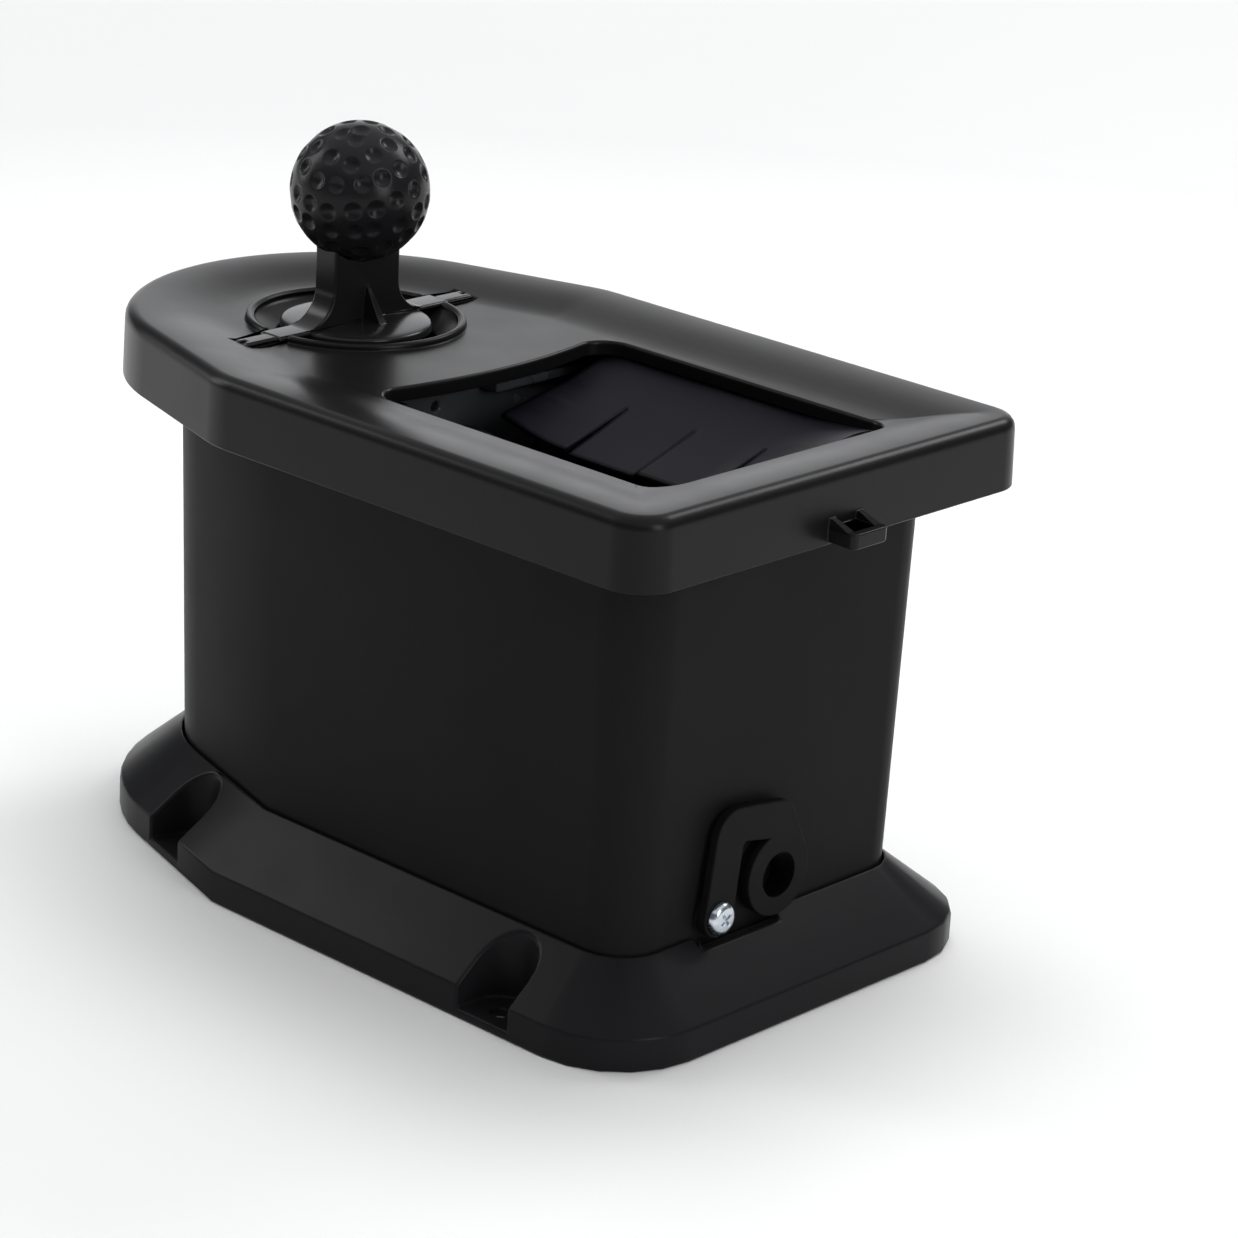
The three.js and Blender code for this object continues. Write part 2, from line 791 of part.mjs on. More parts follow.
function towelLoop() {
  const low = lidSkirtBottom + loopRaise;
  const wall = lidLength / 2 - lidDraft;
  const tip = lidLength / 2 + loopReach;
  const half = loopWidth / 2;
  const quarter = Math.PI / 2;
  const outer = [
    new THREE.Vector2(wall - lidWall / 2, -half),
    ...arc(tip - loopCorner, loopCorner - half, loopCorner, -quarter, 0, cornerSteps),
    ...arc(tip - loopCorner, half - loopCorner, loopCorner, 0, quarter, cornerSteps),
    new THREE.Vector2(wall - lidWall / 2, half),
  ];
  const high = low + loopHeight;
  const slot = block(lidLength / 2, tip - loopBar, loopBar - half, half - loopBar, low - overrun,
    high + overrun);
  return cut(plate(outer, low, high), slot);
}

function makeLid() {
  const body = loft([{ points: lidOutline(0), z: lidSkirtBottom }, ...lidSkin(0, 0)]);
  const inside = loft([
    { points: lidOutline(lidWall), z: lidSkirtBottom - overrun },
    ...lidSkin(lidWall, lidWall),
  ]);
  const whole = solid(body);
  const land = solid(plate(tankTopOutline(-gasketWidth), landBottom, lidPanel))
    .subtract(solid(plate(tankTopOutline(tankWall), landBottom - overrun, lidPanel + overrun)));
  const bosses = lidScrewPlaces().map(([x, y]) => (
    solid(upright(bossRadius - slideGap, x, y, gasketBottom, lidTop - lidWall / 2, bossSides))));
  const pads = [-1, 1].map((hand) => solid(clampBlock(hand, lidUnderside, lidPanel)));
  const rimPoints = openingOutline(openingRim);
  const rim = solid(plate(rimPoints, lidPanel - openingDepth, lidPanel - lidWall / 2));
  const under = [land, rim, ...bosses, ...pads].reduce((all, one) => all.add(one));
  const bore = screwRadius + seatGap;
  const moulded = whole.subtract(solid(inside)).add(under)
    .add(solid(plungerSeat())).add(solid(towelLoop()));
  return cut(
    shell(moulded),
    openingCut(),
    plungerHole(),
    wingGaps(),
    ...lidScrewPlaces().map(([x, y]) => (
      upright(bore, x, y, gasketBottom - overrun, lidScrewTop, screwSides))),
    ...clampScrewPlaces().map(([x, y]) => (
      upright(bore, x, y, clampBottom, clampBottom + clampScrewLength + seatGap, screwSides))),
  );
}

function makeGasket() {
  const top = gasketBottom + gasketThickness;
  const inner = plate(tankTopOutline(tankWall), gasketBottom - overrun, top + overrun);
  return cut(plate(tankTopOutline(-gasketWidth), gasketBottom, top), inner);
}

// A hidden screw on +Z, its head's seat at z = 0 and its shank above
function hiddenScrew(length) {
  return turned([
    [0, -screwHeadHeight],
    [screwHeadRadius, -screwHeadHeight],
    [screwHeadRadius, 0],
    [screwRadius, 0],
    [screwRadius, length],
    [0, length],
  ], 0, screwSides);
}

function makeLidScrews() {
  return lidScrewPlaces().map(([x, y]) => (
    hiddenScrew(lidScrewLength - seatGap).translate(x, y, lidScrewSeat)));
}

function makeBaseScrews() {
  const seat = deckTop - deckThickness - seatGap;
  return baseScrewPlaces().map(([x, y]) => hiddenScrew(baseScrewLength).translate(x, y, seat));
}

// Divider with two ledges that stand out over the club chamber
function makeDivider() {
  const side = tankSideAt(dividerBack) - slideGap - dividerEdgeGap;
  const foot = side + flareAt(tankInside);
  const head = side + flareAt(dividerTop);
  const low = tankInside + seatGap;
  const sheet = acrossX([
    new THREE.Vector2(-foot, low),
    new THREE.Vector2(foot, low),
    new THREE.Vector2(head, dividerTop),
    new THREE.Vector2(-head, dividerTop),
  ], dividerThickness).translate(dividerX, 0, 0);
  const reach = dividerFace + ledgeReach;
  const ledges = [-1, 1].map((hand) => {
    const [y0, y1] = ordered(hand * ledgeStart, hand * (head - slideGap));
    return block(dividerBack, reach, y0, y1, dividerTop - dividerThickness, dividerTop);
  });
  const bore = screwRadius + seatGap;
  const holes = ballScrewHeights().map((z) => (
    alongX(bore, 0, z, dividerBack - overrun, dividerFace + overrun, screwSides)));
  return cut(join(sheet, ...ledges), ...holes);
}

// Ball brushes face each other across the ring, one on the divider and one on the nose
function ballBrushParts(hand) {
  const root = hand > 0 ? dividerBack - seatGap : noseBackX();
  const face = root - hand * brushBack;
  const bristleRoot = face - hand * seatGap;
  const half = ballBrushWidth / 2;
  const bore = screwRadius + seatGap;
  const through = ordered(root + hand * overrun, face - hand * overrun);
  const back = cut(
    block(...ordered(root, face), -half, half, tankInside + seatGap, ballBackTop),
    ...ballScrewHeights().map((z) => alongX(bore, 0, z, ...through, screwSides)),
  );
  const height = ballBristleHigh - ballBristleLow;
  const bristles = bristleBlock(ballBristleWidth, height, ballBrushLength)
    .rotateY(-hand * Math.PI / 2)
    .translate(bristleRoot, 0, ballBristleLow + height / 2);
  const screws = ballScrewHeights().map((z) => (
    hiddenScrew(fittingScrewLength - brushBack / 2)
      .rotateY(hand * Math.PI / 2)
      .translate(bristleRoot, 0, z)));
  return { back, bristles, screws };
}

// A filled field of bristles, roots at z = 0, drawn in a little at its tips.
// Its width runs along Y and its length along X.
function bristleBlock(width, length, height) {
  const footprint = (inset) => [
    new THREE.Vector2(inset - length / 2, inset - width / 2),
    new THREE.Vector2(length / 2 - inset, inset - width / 2),
    new THREE.Vector2(length / 2 - inset, width / 2 - inset),
    new THREE.Vector2(inset - length / 2, width / 2 - inset),
  ];
  return loft([
    { points: footprint(0), z: 0 },
    { points: footprint(0), z: height - bristleEnd },
    { points: footprint(bristleEnd * bristleTaperShare), z: height },
  ]);
}

function clubBrushParts(hand) {
  const face = hand * (clubBackY - brushBack);
  const places = clubScrewPlaces().filter(([, side]) => side === hand);
  const through = ordered(hand * (clubBackY + overrun), face - hand * overrun);
  const back = cut(
    block(clubBackNearX, clubBackFarX, ...ordered(hand * clubBackY, face), clubBackLow, clubBackHigh),
    ...places.map(([x, , z]) => alongY(screwRadius + seatGap, x, z, ...through, screwSides)),
  );
  const length = clubBackFarX - clubBackNearX - 2 * clubBristleEndInset;
  const height = clubBackHigh - clubBackLow - 2 * clubBristleInset;
  const root = face - hand * seatGap;
  const bristles = bristleBlock(height, length, clubBrushLength)
    .rotateX(hand * Math.PI / 2)
    .translate((clubBackNearX + clubBackFarX) / 2, root, (clubBackLow + clubBackHigh) / 2);
  const screws = places.map(([x, , z]) => (
    hiddenScrew(fittingScrewLength).rotateX(-hand * Math.PI / 2).translate(x, root, z)));
  return { back, bristles, screws };
}

function makeFloorBrush() {
  const half = floorBrushWidth / 2;
  const bottom = tankInside + seatGap;
  const back = block(clubBackNearX, clubBackFarX, -half, half, bottom, bottom + brushBack);
  const width = floorBrushWidth - 2 * (railLip + slideGap);
  const length = clubBackFarX - clubBackNearX - clubBristleInset;
  const bristles = bristleBlock(width, length, floorBrushLength)
    .translate((clubBackNearX + clubBackFarX) / 2, 0, bottom + brushBack + seatGap);
  return { back, bristles };
}

// Clamp bars hold the flaps' roots under the lid
function clampBlock(hand, low, high) {
  const reach = flapSpan / 2 - clampHeight / 2;
  const [y0, y1] = ordered(hand * clampInnerY, hand * clampOuterY);
  return block(flapMiddleX - reach, flapMiddleX + reach, y0, y1, low, high);
}

function clampScrewPlaces() {
  return [-1, 1].flatMap((hand) => clampScrewShares.map((share) => [
    openingNearX + flapSpan * share,
    hand * (clampInnerY + clampOuterY) / 2,
  ]));
}

function makeClamp(hand) {
  const bore = screwRadius + seatGap;
  return cut(
    clampBlock(hand, clampBottom, clampTop),
    ...clampScrewPlaces().map(([x, y]) => (
      upright(bore, x, y, clampBottom - overrun, clampTop + overrun, screwSides))),
  );
}

function makeClampScrews() {
  return clampScrewPlaces().map(([x, y]) => (
    hiddenScrew(clampScrewLength - seatGap).translate(x, y, clampBottom - seatGap)));
}

// A rubber sheet with a rounded root on the hinge line, slit into fingers at its free edge
function makeFlap(hand) {
  const half = flapThickness / 2;
  const sheet = acrossX([
    ...arc(0, 0, half, Math.PI / 2, 3 * Math.PI / 2, cornerSteps),
    new THREE.Vector2(flapLength, -half),
    new THREE.Vector2(flapLength, half),
  ], flapSpan);
  const slits = [];
  for (let i = 1; i < flapFingers; i += 1) {
    const x = flapSpan * (i / flapFingers - 1 / 2);
    slits.push(block(x - flapSlitWidth / 2, x + flapSlitWidth / 2, flapLength - flapSlitLength,
      flapLength + overrun, -overrun, overrun));
  }
  return cut(sheet, ...slits)
    .rotateX(-flapSlope)
    .translate(0, -hingeY, hingeZ)
    .rotateZ(hand > 0 ? Math.PI : 0)
    .translate(flapMiddleX, 0, 0);
}

// Dimple centres lie in rings round the upright axis, every other ring turned by half a step
function dimpleCentres() {
  const rings = Math.round(Math.PI * knobRadius / dimplePitch);
  const centres = [];
  for (let ring = 0; ring < rings; ring += 1) {
    const polar = Math.PI * (ring + 0.5) / rings;
    const count = Math.max(1, Math.round(2 * Math.PI * knobRadius * Math.sin(polar) / dimplePitch));
    for (let i = 0; i < count; i += 1) {
      const turn = 2 * Math.PI * (i + (ring % 2) / 2) / count;
      centres.push(new THREE.Vector3().setFromSphericalCoords(1, polar, turn));
    }
  }
  return centres.map((centre) => new THREE.Vector3(centre.x, centre.z, centre.y));
}

function makeKnob() {
  const ball = mergeVertices(bareCopy(new THREE.IcosahedronGeometry(knobRadius, knobDetail)));
  const centres = dimpleCentres();
  const place = ball.attributes.position;
  const point = new THREE.Vector3();
  for (let i = 0; i < place.count; i += 1) {
    point.fromBufferAttribute(place, i).normalize();
    const nearest = Math.max(...centres.map((centre) => centre.dot(point)));
    const away = Math.acos(Math.min(1, nearest)) * knobRadius / dimpleRadius;
    const depth = away < 1 ? dimpleDepth * (1 - away * away) : 0;
    point.multiplyScalar(knobRadius - depth);
    place.setXYZ(i, point.x, point.y, point.z);
  }
  ball.translate(plungerX, 0, knobCentreZ);
  const bore = upright(studRadius + seatGap, plungerX, 0, studBottom, studTop + seatGap, bossSides);
  return cut(ball, bore);
}

function makeStud() {
  return turned([
    [0, studBottom],
    [studRadius, studBottom],
    [studRadius, studTop - studRadius / 2],
    [0, studTop],
  ], plungerX);
}

// Handle: flat neck that flares into two wings, on a domed disc with a gusset on each face
function makeHandle() {
  const half = neckWidth / 2;
  const bottom = lidPanel + seatGap;
  const tipStart = wingReach - wingTipLength;
  const quarter = Math.PI / 2;
  const flare = arc(half + flareRadius, wingTop + flareRadius, flareRadius, -quarter, -2 * quarter,
    cornerSteps * 2);
  const rightSide = [
    new THREE.Vector2(tipStart, bottom),
    new THREE.Vector2(tipStart, wingTop),
    ...flare,
    new THREE.Vector2(half, knobCentreZ),
  ];
  const leftSide = rightSide.map((point) => new THREE.Vector2(-point.x, point.y)).reverse();
  const neck = acrossX([...rightSide, ...leftSide], neckThickness);
  const tips = block(-wingTipWidth / 2, wingTipWidth / 2, -wingReach, wingReach, bottom,
    wingTop - seatGap);
  const discTop = lidPanel + seatGap * 2;
  const discLow = discTop - discThickness;
  const disc = turned([
    [0, discLow],
    [discRadius, discLow],
    [discRadius, discTop - seatGap],
    ...domeShares.map(([out, up]) => [discRadius * out, discTop + domeHeight * up]),
    [0, discTop + domeHeight],
  ]);
  const gussetFoot = discRadius * gussetFootShare;
  const gusset = acrossY([
    new THREE.Vector2(-gussetFoot, discTop),
    new THREE.Vector2(gussetFoot, discTop),
    new THREE.Vector2(neckThickness / 2, discTop + gussetHeight),
    new THREE.Vector2(-neckThickness / 2, discTop + gussetHeight),
  ], gussetThickness);
  const socketLow = discLow - socketHeight;
  const handle = cut(
    join(neck, tips, disc, gusset, tangBlock(socketWall, socketLow, discTop - seatGap)),
    new THREE.SphereGeometry(knobRadius + seatGap, roundSides, bossSides)
      .rotateX(quarter)
      .translate(0, 0, knobCentreZ),
    upright(studRadius + seatGap, 0, 0, studBottom - seatGap, knobCentreZ, bossSides),
    tangBlock(seatGap, socketLow - overrun, discLow),
    alongX(screwRadius + seatGap, 0, socketLow + socketHeight / 2, -discRadius, discRadius, screwSides),
    wingTipNotch(-1),
    wingTipNotch(1),
  );
  return handle.translate(plungerX, 0, 0);
}

// The tang's own section, grown all round
function tangBlock(grow, low, high) {
  const thick = tangThickness / 2 + grow;
  const wide = tangWidth / 2 + grow;
  return block(-thick, thick, -wide, wide, low, high);
}

function wingTipNotch(hand) {
  const [y0, y1] = ordered(hand * (wingReach - wingNotch * 2), hand * (wingReach + overrun));
  return block(-wingNotch / 2, wingNotch / 2, y0, y1, lidPanel, wingTop + overrun);
}

function tangTop() {
  return lidPanel + seatGap - discThickness;
}

// Ring that carries the ball by its waist, with a tang up into the handle's socket
function makeBallRing() {
  const half = ringWidth / 2;
  const grip = Math.sqrt(ballRadius * ballRadius - half * half) - ringGrip;
  const ring = turned([
    [grip, -half],
    [ringOuterRadius, -half],
    [ringOuterRadius, half],
    [grip, half],
    [ballRadius + seatGap, 0],
    [grip, -half],
  ]).rotateY(Math.PI / 2).translate(0, 0, ballCentreZ);
  const wall = ringOuterRadius - ballRadius;
  const tang = tangBlock(0, ballCentreZ + ringOuterRadius - wall / 2, tangTop() - seatGap);
  const screwZ = tangTop() + seatGap - socketHeight / 2;
  const bore = alongX(screwRadius + seatGap, 0, screwZ, -ringWidth, ringWidth, screwSides);
  return cut(join(ring, tang), bore).translate(plungerX, 0, 0);
}

function makeRingScrew() {
  const reach = tangThickness / 2 + socketWall;
  return hiddenScrew(reach * 2)
    .rotateY(-Math.PI / 2)
    .translate(plungerX + reach + seatGap, 0, tangTop() + seatGap - socketHeight / 2);
}

// Drain plug: a rubber cup with a wide head
function makePlug() {
  const head = plugFaceX - plugHeadThickness;
  const tip = wallX(drainZ) - tankWall - plugTip / 2;
  const body = join(
    alongX(plugHeadRadius, 0, drainZ, head, plugFaceX),
    alongX(plugStemRadius, 0, drainZ, tip, head + plugHeadThickness / 2),
  );
  return cut(body, alongX(plugBoreRadius, plugBoreOffset, drainZ + plugBoreOffset,
    plugFaceX - plugBoreDepth, plugFaceX + overrun, bossSides));
}

// Flat strap: up from its screw, over a bend and down on to the plug's head
function makeStrap() {
  const half = strapWidth / 2;
  const quarter = Math.PI / 2;
  const topY = strapScrewY + strapLean;
  const inside = strapTop - strapWidth;
  const outer = strapBend + half / 2;
  const seat = plugHeadRadius + seatGap;
  const spread = Math.asin(half / seat);
  const bendZ = strapTop - strapBend - strapLean / 2;
  const points = [
    ...arc(strapScrewY, strapScrewZ, half, 2 * quarter, 4 * quarter, cornerSteps * 2),
    new THREE.Vector2(topY + half, inside),
    new THREE.Vector2(-half, inside - strapLean / 2),
    ...arc(0, drainZ, seat, quarter + spread, quarter - spread, cornerSteps),
    ...arc(half - strapBend, bendZ, strapBend, 0, quarter, cornerSteps),
    ...arc(topY - half + outer, strapTop - outer, outer, quarter, 2 * quarter, cornerSteps),
  ];
  const strap = acrossX(points, strapThickness).translate(plugFaceX - strapThickness / 2, 0, 0);
  return cut(strap, alongX(screwRadius + seatGap, strapScrewY, strapScrewZ, strapBackX - overrun,
    plugFaceX + overrun, bossSides));
}

// Pan head with a cross recess, its seat at z = 0 and its shank above, laid on to the strap
function makeStrapScrew() {
  const body = turned([
    [0, -strapHeadHeight],
    ...panHeadShares.map(([out, up]) => [strapHeadRadius * out, -strapHeadHeight * up]),
    [strapHeadRadius, 0],
    [screwRadius, 0],
    [screwRadius, strapScrewLength - screwRadius],
    [0, strapScrewLength],
  ]);
  const arm = strapHeadRadius * crossArmShare;
  const floor = strapHeadHeight * (crossDepthShare - 1);
  const low = -strapHeadHeight - overrun;
  const half = crossWidth / 2;
  return cut(body, block(-arm, arm, -half, half, low, floor), block(-half, half, -arm, arm, low, floor))
    .rotateZ(Math.PI / 5)
    .rotateY(-Math.PI / 2)
    .translate(plugFaceX + seatGap, strapScrewY, strapScrewZ);
}

// Finishes
const finishes = {
  lidPlastic: { color: 0x2a2a2b, roughness: 0.42, metalness: 0 },
  tankPlastic: { color: 0x1f1f20, roughness: 0.5, metalness: 0 },
  basePlastic: { color: 0x242426, roughness: 0.38, metalness: 0 },
  knobPlastic: { color: 0x1c1c1d, roughness: 0.4, metalness: 0 },
  innerPlastic: { color: 0x2c2d30, roughness: 0.5, metalness: 0 },
  rubber: { color: 0x1a1a1c, roughness: 0.75, metalness: 0 },
  bristle: { color: 0x20242b, roughness: 0.7, metalness: 0 },
  zinc: { color: 0xc8ccd0, roughness: 0.3, metalness: 1 },
};

// Everything is drawn about the lid's middle, then shifted so that the washer's own box,
// towel loop included, is centred on x = 0
const washer = new THREE.Group();
const originX = (lidLength / 2 + loopReach - baseLength / 2) / 2;
washer.position.x = -originX;

function piece(name, geometry, finish) {
  const mesh = new THREE.Mesh(geometry, new THREE.MeshStandardMaterial(finishes[finish]));
  mesh.name = name;
  washer.add(mesh);
}

// Copies of one fastener, numbered from 1
function pieces(name, geometries, finish) {
  geometries.forEach((geometry, i) => piece(`${name}_${i + 1}`, geometry, finish));
}

const ballBrushInner = ballBrushParts(1);
const ballBrushNose = ballBrushParts(-1);
const clubBrushFront = clubBrushParts(-1);
const clubBrushRear = clubBrushParts(1);
const floorBrush = makeFloorBrush();

piece('base_flange', makeBaseFlange(), 'basePlastic');
pieces('base_screw', makeBaseScrews(), 'zinc');
piece('tank', makeTank(), 'tankPlastic');
piece('lid', makeLid(), 'lidPlastic');
piece('lid_gasket', makeGasket(), 'rubber');
pieces('lid_screw', makeLidScrews(), 'zinc');
piece('divider_wall', makeDivider(), 'innerPlastic');
piece('ball_brush_back_inner', ballBrushInner.back, 'innerPlastic');
piece('ball_brush_back_nose', ballBrushNose.back, 'innerPlastic');
piece('ball_brush_bristles_inner', ballBrushInner.bristles, 'bristle');
piece('ball_brush_bristles_nose', ballBrushNose.bristles, 'bristle');
pieces('ball_brush_screw', [...ballBrushInner.screws, ...ballBrushNose.screws], 'zinc');
piece('club_brush_back_front', clubBrushFront.back, 'innerPlastic');
piece('club_brush_back_rear', clubBrushRear.back, 'innerPlastic');
piece('club_brush_back_floor', floorBrush.back, 'innerPlastic');
piece('club_brush_bristles_front', clubBrushFront.bristles, 'bristle');
piece('club_brush_bristles_rear', clubBrushRear.bristles, 'bristle');
piece('club_brush_bristles_floor', floorBrush.bristles, 'bristle');
pieces('club_brush_screw', [...clubBrushFront.screws, ...clubBrushRear.screws], 'zinc');
piece('flap_clamp_front', makeClamp(-1), 'innerPlastic');
piece('flap_clamp_rear', makeClamp(1), 'innerPlastic');
pieces('flap_clamp_screw', makeClampScrews(), 'zinc');
piece('splash_flap_front', makeFlap(-1), 'rubber');
piece('splash_flap_rear', makeFlap(1), 'rubber');
piece('knob_ball', makeKnob(), 'knobPlastic');
piece('knob_stud', makeStud(), 'zinc');
piece('plunger_handle', makeHandle(), 'knobPlastic');
piece('ball_ring', makeBallRing(), 'innerPlastic');
piece('ball_ring_screw', makeRingScrew(), 'zinc');
piece('drain_plug', makePlug(), 'rubber');
piece('drain_strap', makeStrap(), 'rubber');
piece('drain_strap_screw', makeStrapScrew(), 'zinc');

export default washer;
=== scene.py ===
# %% [markdown]
# # A golf ball washer in black moulded plastic
# The CAD frame gives every piece its place. Here the pieces get the shapes and finishes that the
# eye sees: soft moulded edges, a dimpled knob, bristle tufts and rubber flaps. Everything is
# drawn in millimetres about the lid's middle, and one matrix turns that into the frame's metres
# at the very end, so no object is ever moved or scaled.

import math
import random

import bmesh
import bpy
from mathutils import Matrix, Vector, kdtree


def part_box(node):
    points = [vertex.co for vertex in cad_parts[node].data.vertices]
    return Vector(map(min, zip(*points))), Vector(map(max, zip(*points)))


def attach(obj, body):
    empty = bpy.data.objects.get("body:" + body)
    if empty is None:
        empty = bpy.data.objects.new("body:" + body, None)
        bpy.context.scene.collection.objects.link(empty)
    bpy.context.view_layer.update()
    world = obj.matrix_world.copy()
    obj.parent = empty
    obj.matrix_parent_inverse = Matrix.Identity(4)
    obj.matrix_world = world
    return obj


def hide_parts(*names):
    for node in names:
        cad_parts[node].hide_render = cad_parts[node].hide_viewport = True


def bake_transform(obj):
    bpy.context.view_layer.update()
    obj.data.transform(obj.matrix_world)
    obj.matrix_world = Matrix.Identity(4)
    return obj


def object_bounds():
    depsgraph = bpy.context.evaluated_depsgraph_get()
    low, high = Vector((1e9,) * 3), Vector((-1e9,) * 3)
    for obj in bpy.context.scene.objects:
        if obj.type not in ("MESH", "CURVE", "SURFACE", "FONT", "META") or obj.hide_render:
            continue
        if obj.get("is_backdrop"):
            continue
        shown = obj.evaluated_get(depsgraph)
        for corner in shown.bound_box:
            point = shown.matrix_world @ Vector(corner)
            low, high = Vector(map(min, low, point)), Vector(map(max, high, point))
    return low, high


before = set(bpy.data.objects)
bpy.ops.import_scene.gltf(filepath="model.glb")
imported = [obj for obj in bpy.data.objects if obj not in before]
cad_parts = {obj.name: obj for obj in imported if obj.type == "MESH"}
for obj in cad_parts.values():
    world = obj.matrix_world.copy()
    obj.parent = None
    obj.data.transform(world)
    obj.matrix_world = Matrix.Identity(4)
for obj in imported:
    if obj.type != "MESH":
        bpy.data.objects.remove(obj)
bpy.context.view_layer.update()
millimetre = 0.001
lid_low, lid_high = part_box("lid")
loop_reach = 9.7
lid_length = (lid_high.x - lid_low.x) / millimetre - loop_reach
lid_middle_x = lid_low.x + lid_length / 2 * millimetre
to_frame = Matrix.Translation((lid_middle_x, 0, 0)) @ Matrix.Scale(millimetre, 4)
print("lid", round(lid_length, 2), "mm long, middle at", round(lid_middle_x, 5), "m")

# %% [markdown]
# ## Camera
# The photograph is a square picture taken with a long lens from the front right, a little rolled.
# Three axes describe such a camera: where it looks, what is right and what is up.

# %% Camera
camera_place = Vector((0.8232, -0.8431, 0.5076))
looking = Vector((-0.6375, 0.6926, -0.3376)).normalized()
level_right = Vector((0.7358, 0.6772, 0)).normalized()
level_up = level_right.cross(looking)
roll = math.radians(3.068)
focal_length, film_width = 120.60, 36
right = math.cos(roll) * level_right + math.sin(roll) * level_up
upward = math.cos(roll) * level_up - math.sin(roll) * level_right

camera_data = bpy.data.cameras.new("photo_camera")
camera_data.lens, camera_data.sensor_width = focal_length, film_width
camera = bpy.data.objects.new("photo_camera", camera_data)
turn_to_photo = Matrix((right, upward, -looking)).transposed()
camera.matrix_world = Matrix.Translation(camera_place) @ turn_to_photo.to_4x4()
bpy.context.scene.collection.objects.link(camera)
bpy.context.scene.camera = camera
print("camera", focal_length, "mm, looking along", [round(v, 3) for v in looking])

# %% [markdown]
# ## Shader tools
# Colours are written as sRGB hex values, and one function turns them into the linear values that
# shaders need. Another adds any node with its settings and links by name, like a recipe's line.

# %% Colour and nodes
def colour(code):
    """An sRGB hex value as the linear colour that shaders use."""
    parts = [int(code[i:i + 2], 16) / 255 for i in (1, 3, 5)]
    linear = [p / 12.92 if p <= 0.04045 else ((p + 0.055) / 1.055) ** 2.4 for p in parts]
    return (*linear, 1)


def add_node(tree, kind, settings=None, links=None):
    """One shader node, with its settings by name and its links as {input: output socket}."""
    node = tree.nodes.new(kind)
    for name, value in (settings or {}).items():
        if name in node.inputs:
            node.inputs[name].default_value = value
        else:
            setattr(node, name, value)
    for name, source in (links or {}).items():
        tree.links.new(source, node.inputs[name])
    return node


def new_material(name):
    """An empty node material, and its tree."""
    material = bpy.data.materials.new(name)
    material.use_nodes = True
    material.node_tree.nodes.clear()
    return material, material.node_tree


# %% [markdown]
# ## Floor
# One sheet of white studio paper runs so far that no view sees its end, and it is as bright far
# away as near, as under a whole row of lamps.

# %% Floor
floor_reach, lamps_from, lamps_full = 40, 1.0, 3.0
paper, tree = new_material("matt_white_paper")
across_floor = add_node(tree, "ShaderNodeTexCoord").outputs["Object"]
mottle = add_node(tree, "ShaderNodeTexNoise", {"Scale": 3.0, "Detail": 2.0},
                  {"Vector": across_floor})
tone = add_node(tree, "ShaderNodeValToRGB", links={"Fac": mottle.outputs["Fac"]})
tone.color_ramp.elements[0].color = colour("#F6F6F6")
tone.color_ramp.elements[1].color = colour("#FAFAFA")
# The far lamps are a glow in the paper that grows with its distance from the washer
away = add_node(tree, "ShaderNodeVectorMath", {"operation": "LENGTH"}, {0: across_floor})
glow = add_node(tree, "ShaderNodeMapRange",
                {"From Min": lamps_from, "From Max": lamps_full, "To Min": 0.0, "To Max": 0.9},
                {"Value": away.outputs["Value"]})
surface = add_node(tree, "ShaderNodeBsdfPrincipled",
                   {"Roughness": 0.9, "Emission Color": (1, 1, 1, 1)},
                   {"Base Color": tone.outputs["Color"],
                    "Emission Strength": glow.outputs["Result"]})
add_node(tree, "ShaderNodeOutputMaterial", links={"Surface": surface.outputs["BSDF"]})

floor_shape = bmesh.new()
bmesh.ops.create_grid(floor_shape, x_segments=1, y_segments=1, size=floor_reach)
floor_mesh = bpy.data.meshes.new("floor")
floor_shape.to_mesh(floor_mesh)
floor_shape.free()
floor_mesh.materials.append(paper)
floor = bpy.data.objects.new("floor", floor_mesh)
bpy.context.scene.collection.objects.link(floor)
floor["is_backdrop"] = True
print("floor", 2 * floor_reach, "m wide")

# %% [markdown]
# ## Light
# Black plastic shows its shape by what it reflects. The room is dim, but for a white wall low
# behind the washer: flat tops seen at a low angle mirror it and turn silver, while upright walls
# stay black. A tall soft box on each side draws the edges.

# %% Room
behind = Vector((-0.665, 0.743, 0.07)).normalized()
# The wall's extent, as the cosine of the angle off its middle
wall_edge, wall_middle = 0.86, 0.99
world = bpy.data.worlds.new("studio")
world.use_nodes = True
tree = world.node_tree
tree.nodes.clear()
outward = add_node(tree, "ShaderNodeTexCoord").outputs["Generated"]
towards_wall = add_node(tree, "ShaderNodeVectorMath", {"operation": "DOT_PRODUCT"},
                        {0: outward})
towards_wall.inputs[1].default_value = behind
room = add_node(tree, "ShaderNodeValToRGB", links={"Fac": towards_wall.outputs["Value"]})
room.color_ramp.interpolation = "EASE"
room.color_ramp.elements[0].position = wall_edge
room.color_ramp.elements[1].position = wall_middle
room.color_ramp.elements[0].color = colour("#4B4C4E")
room.color_ramp.elements[1].color = colour("#F4F5F7")
backdrop = add_node(tree, "ShaderNodeBackground", {"Strength": 1.6},
                    {"Color": room.outputs["Color"]})
add_node(tree, "ShaderNodeOutputWorld", links={"Surface": backdrop.outputs["Background"]})
bpy.context.scene.world = world
bpy.context.scene.view_settings.view_transform = "Standard"
print("white wall towards", [round(v, 2) for v in behind])


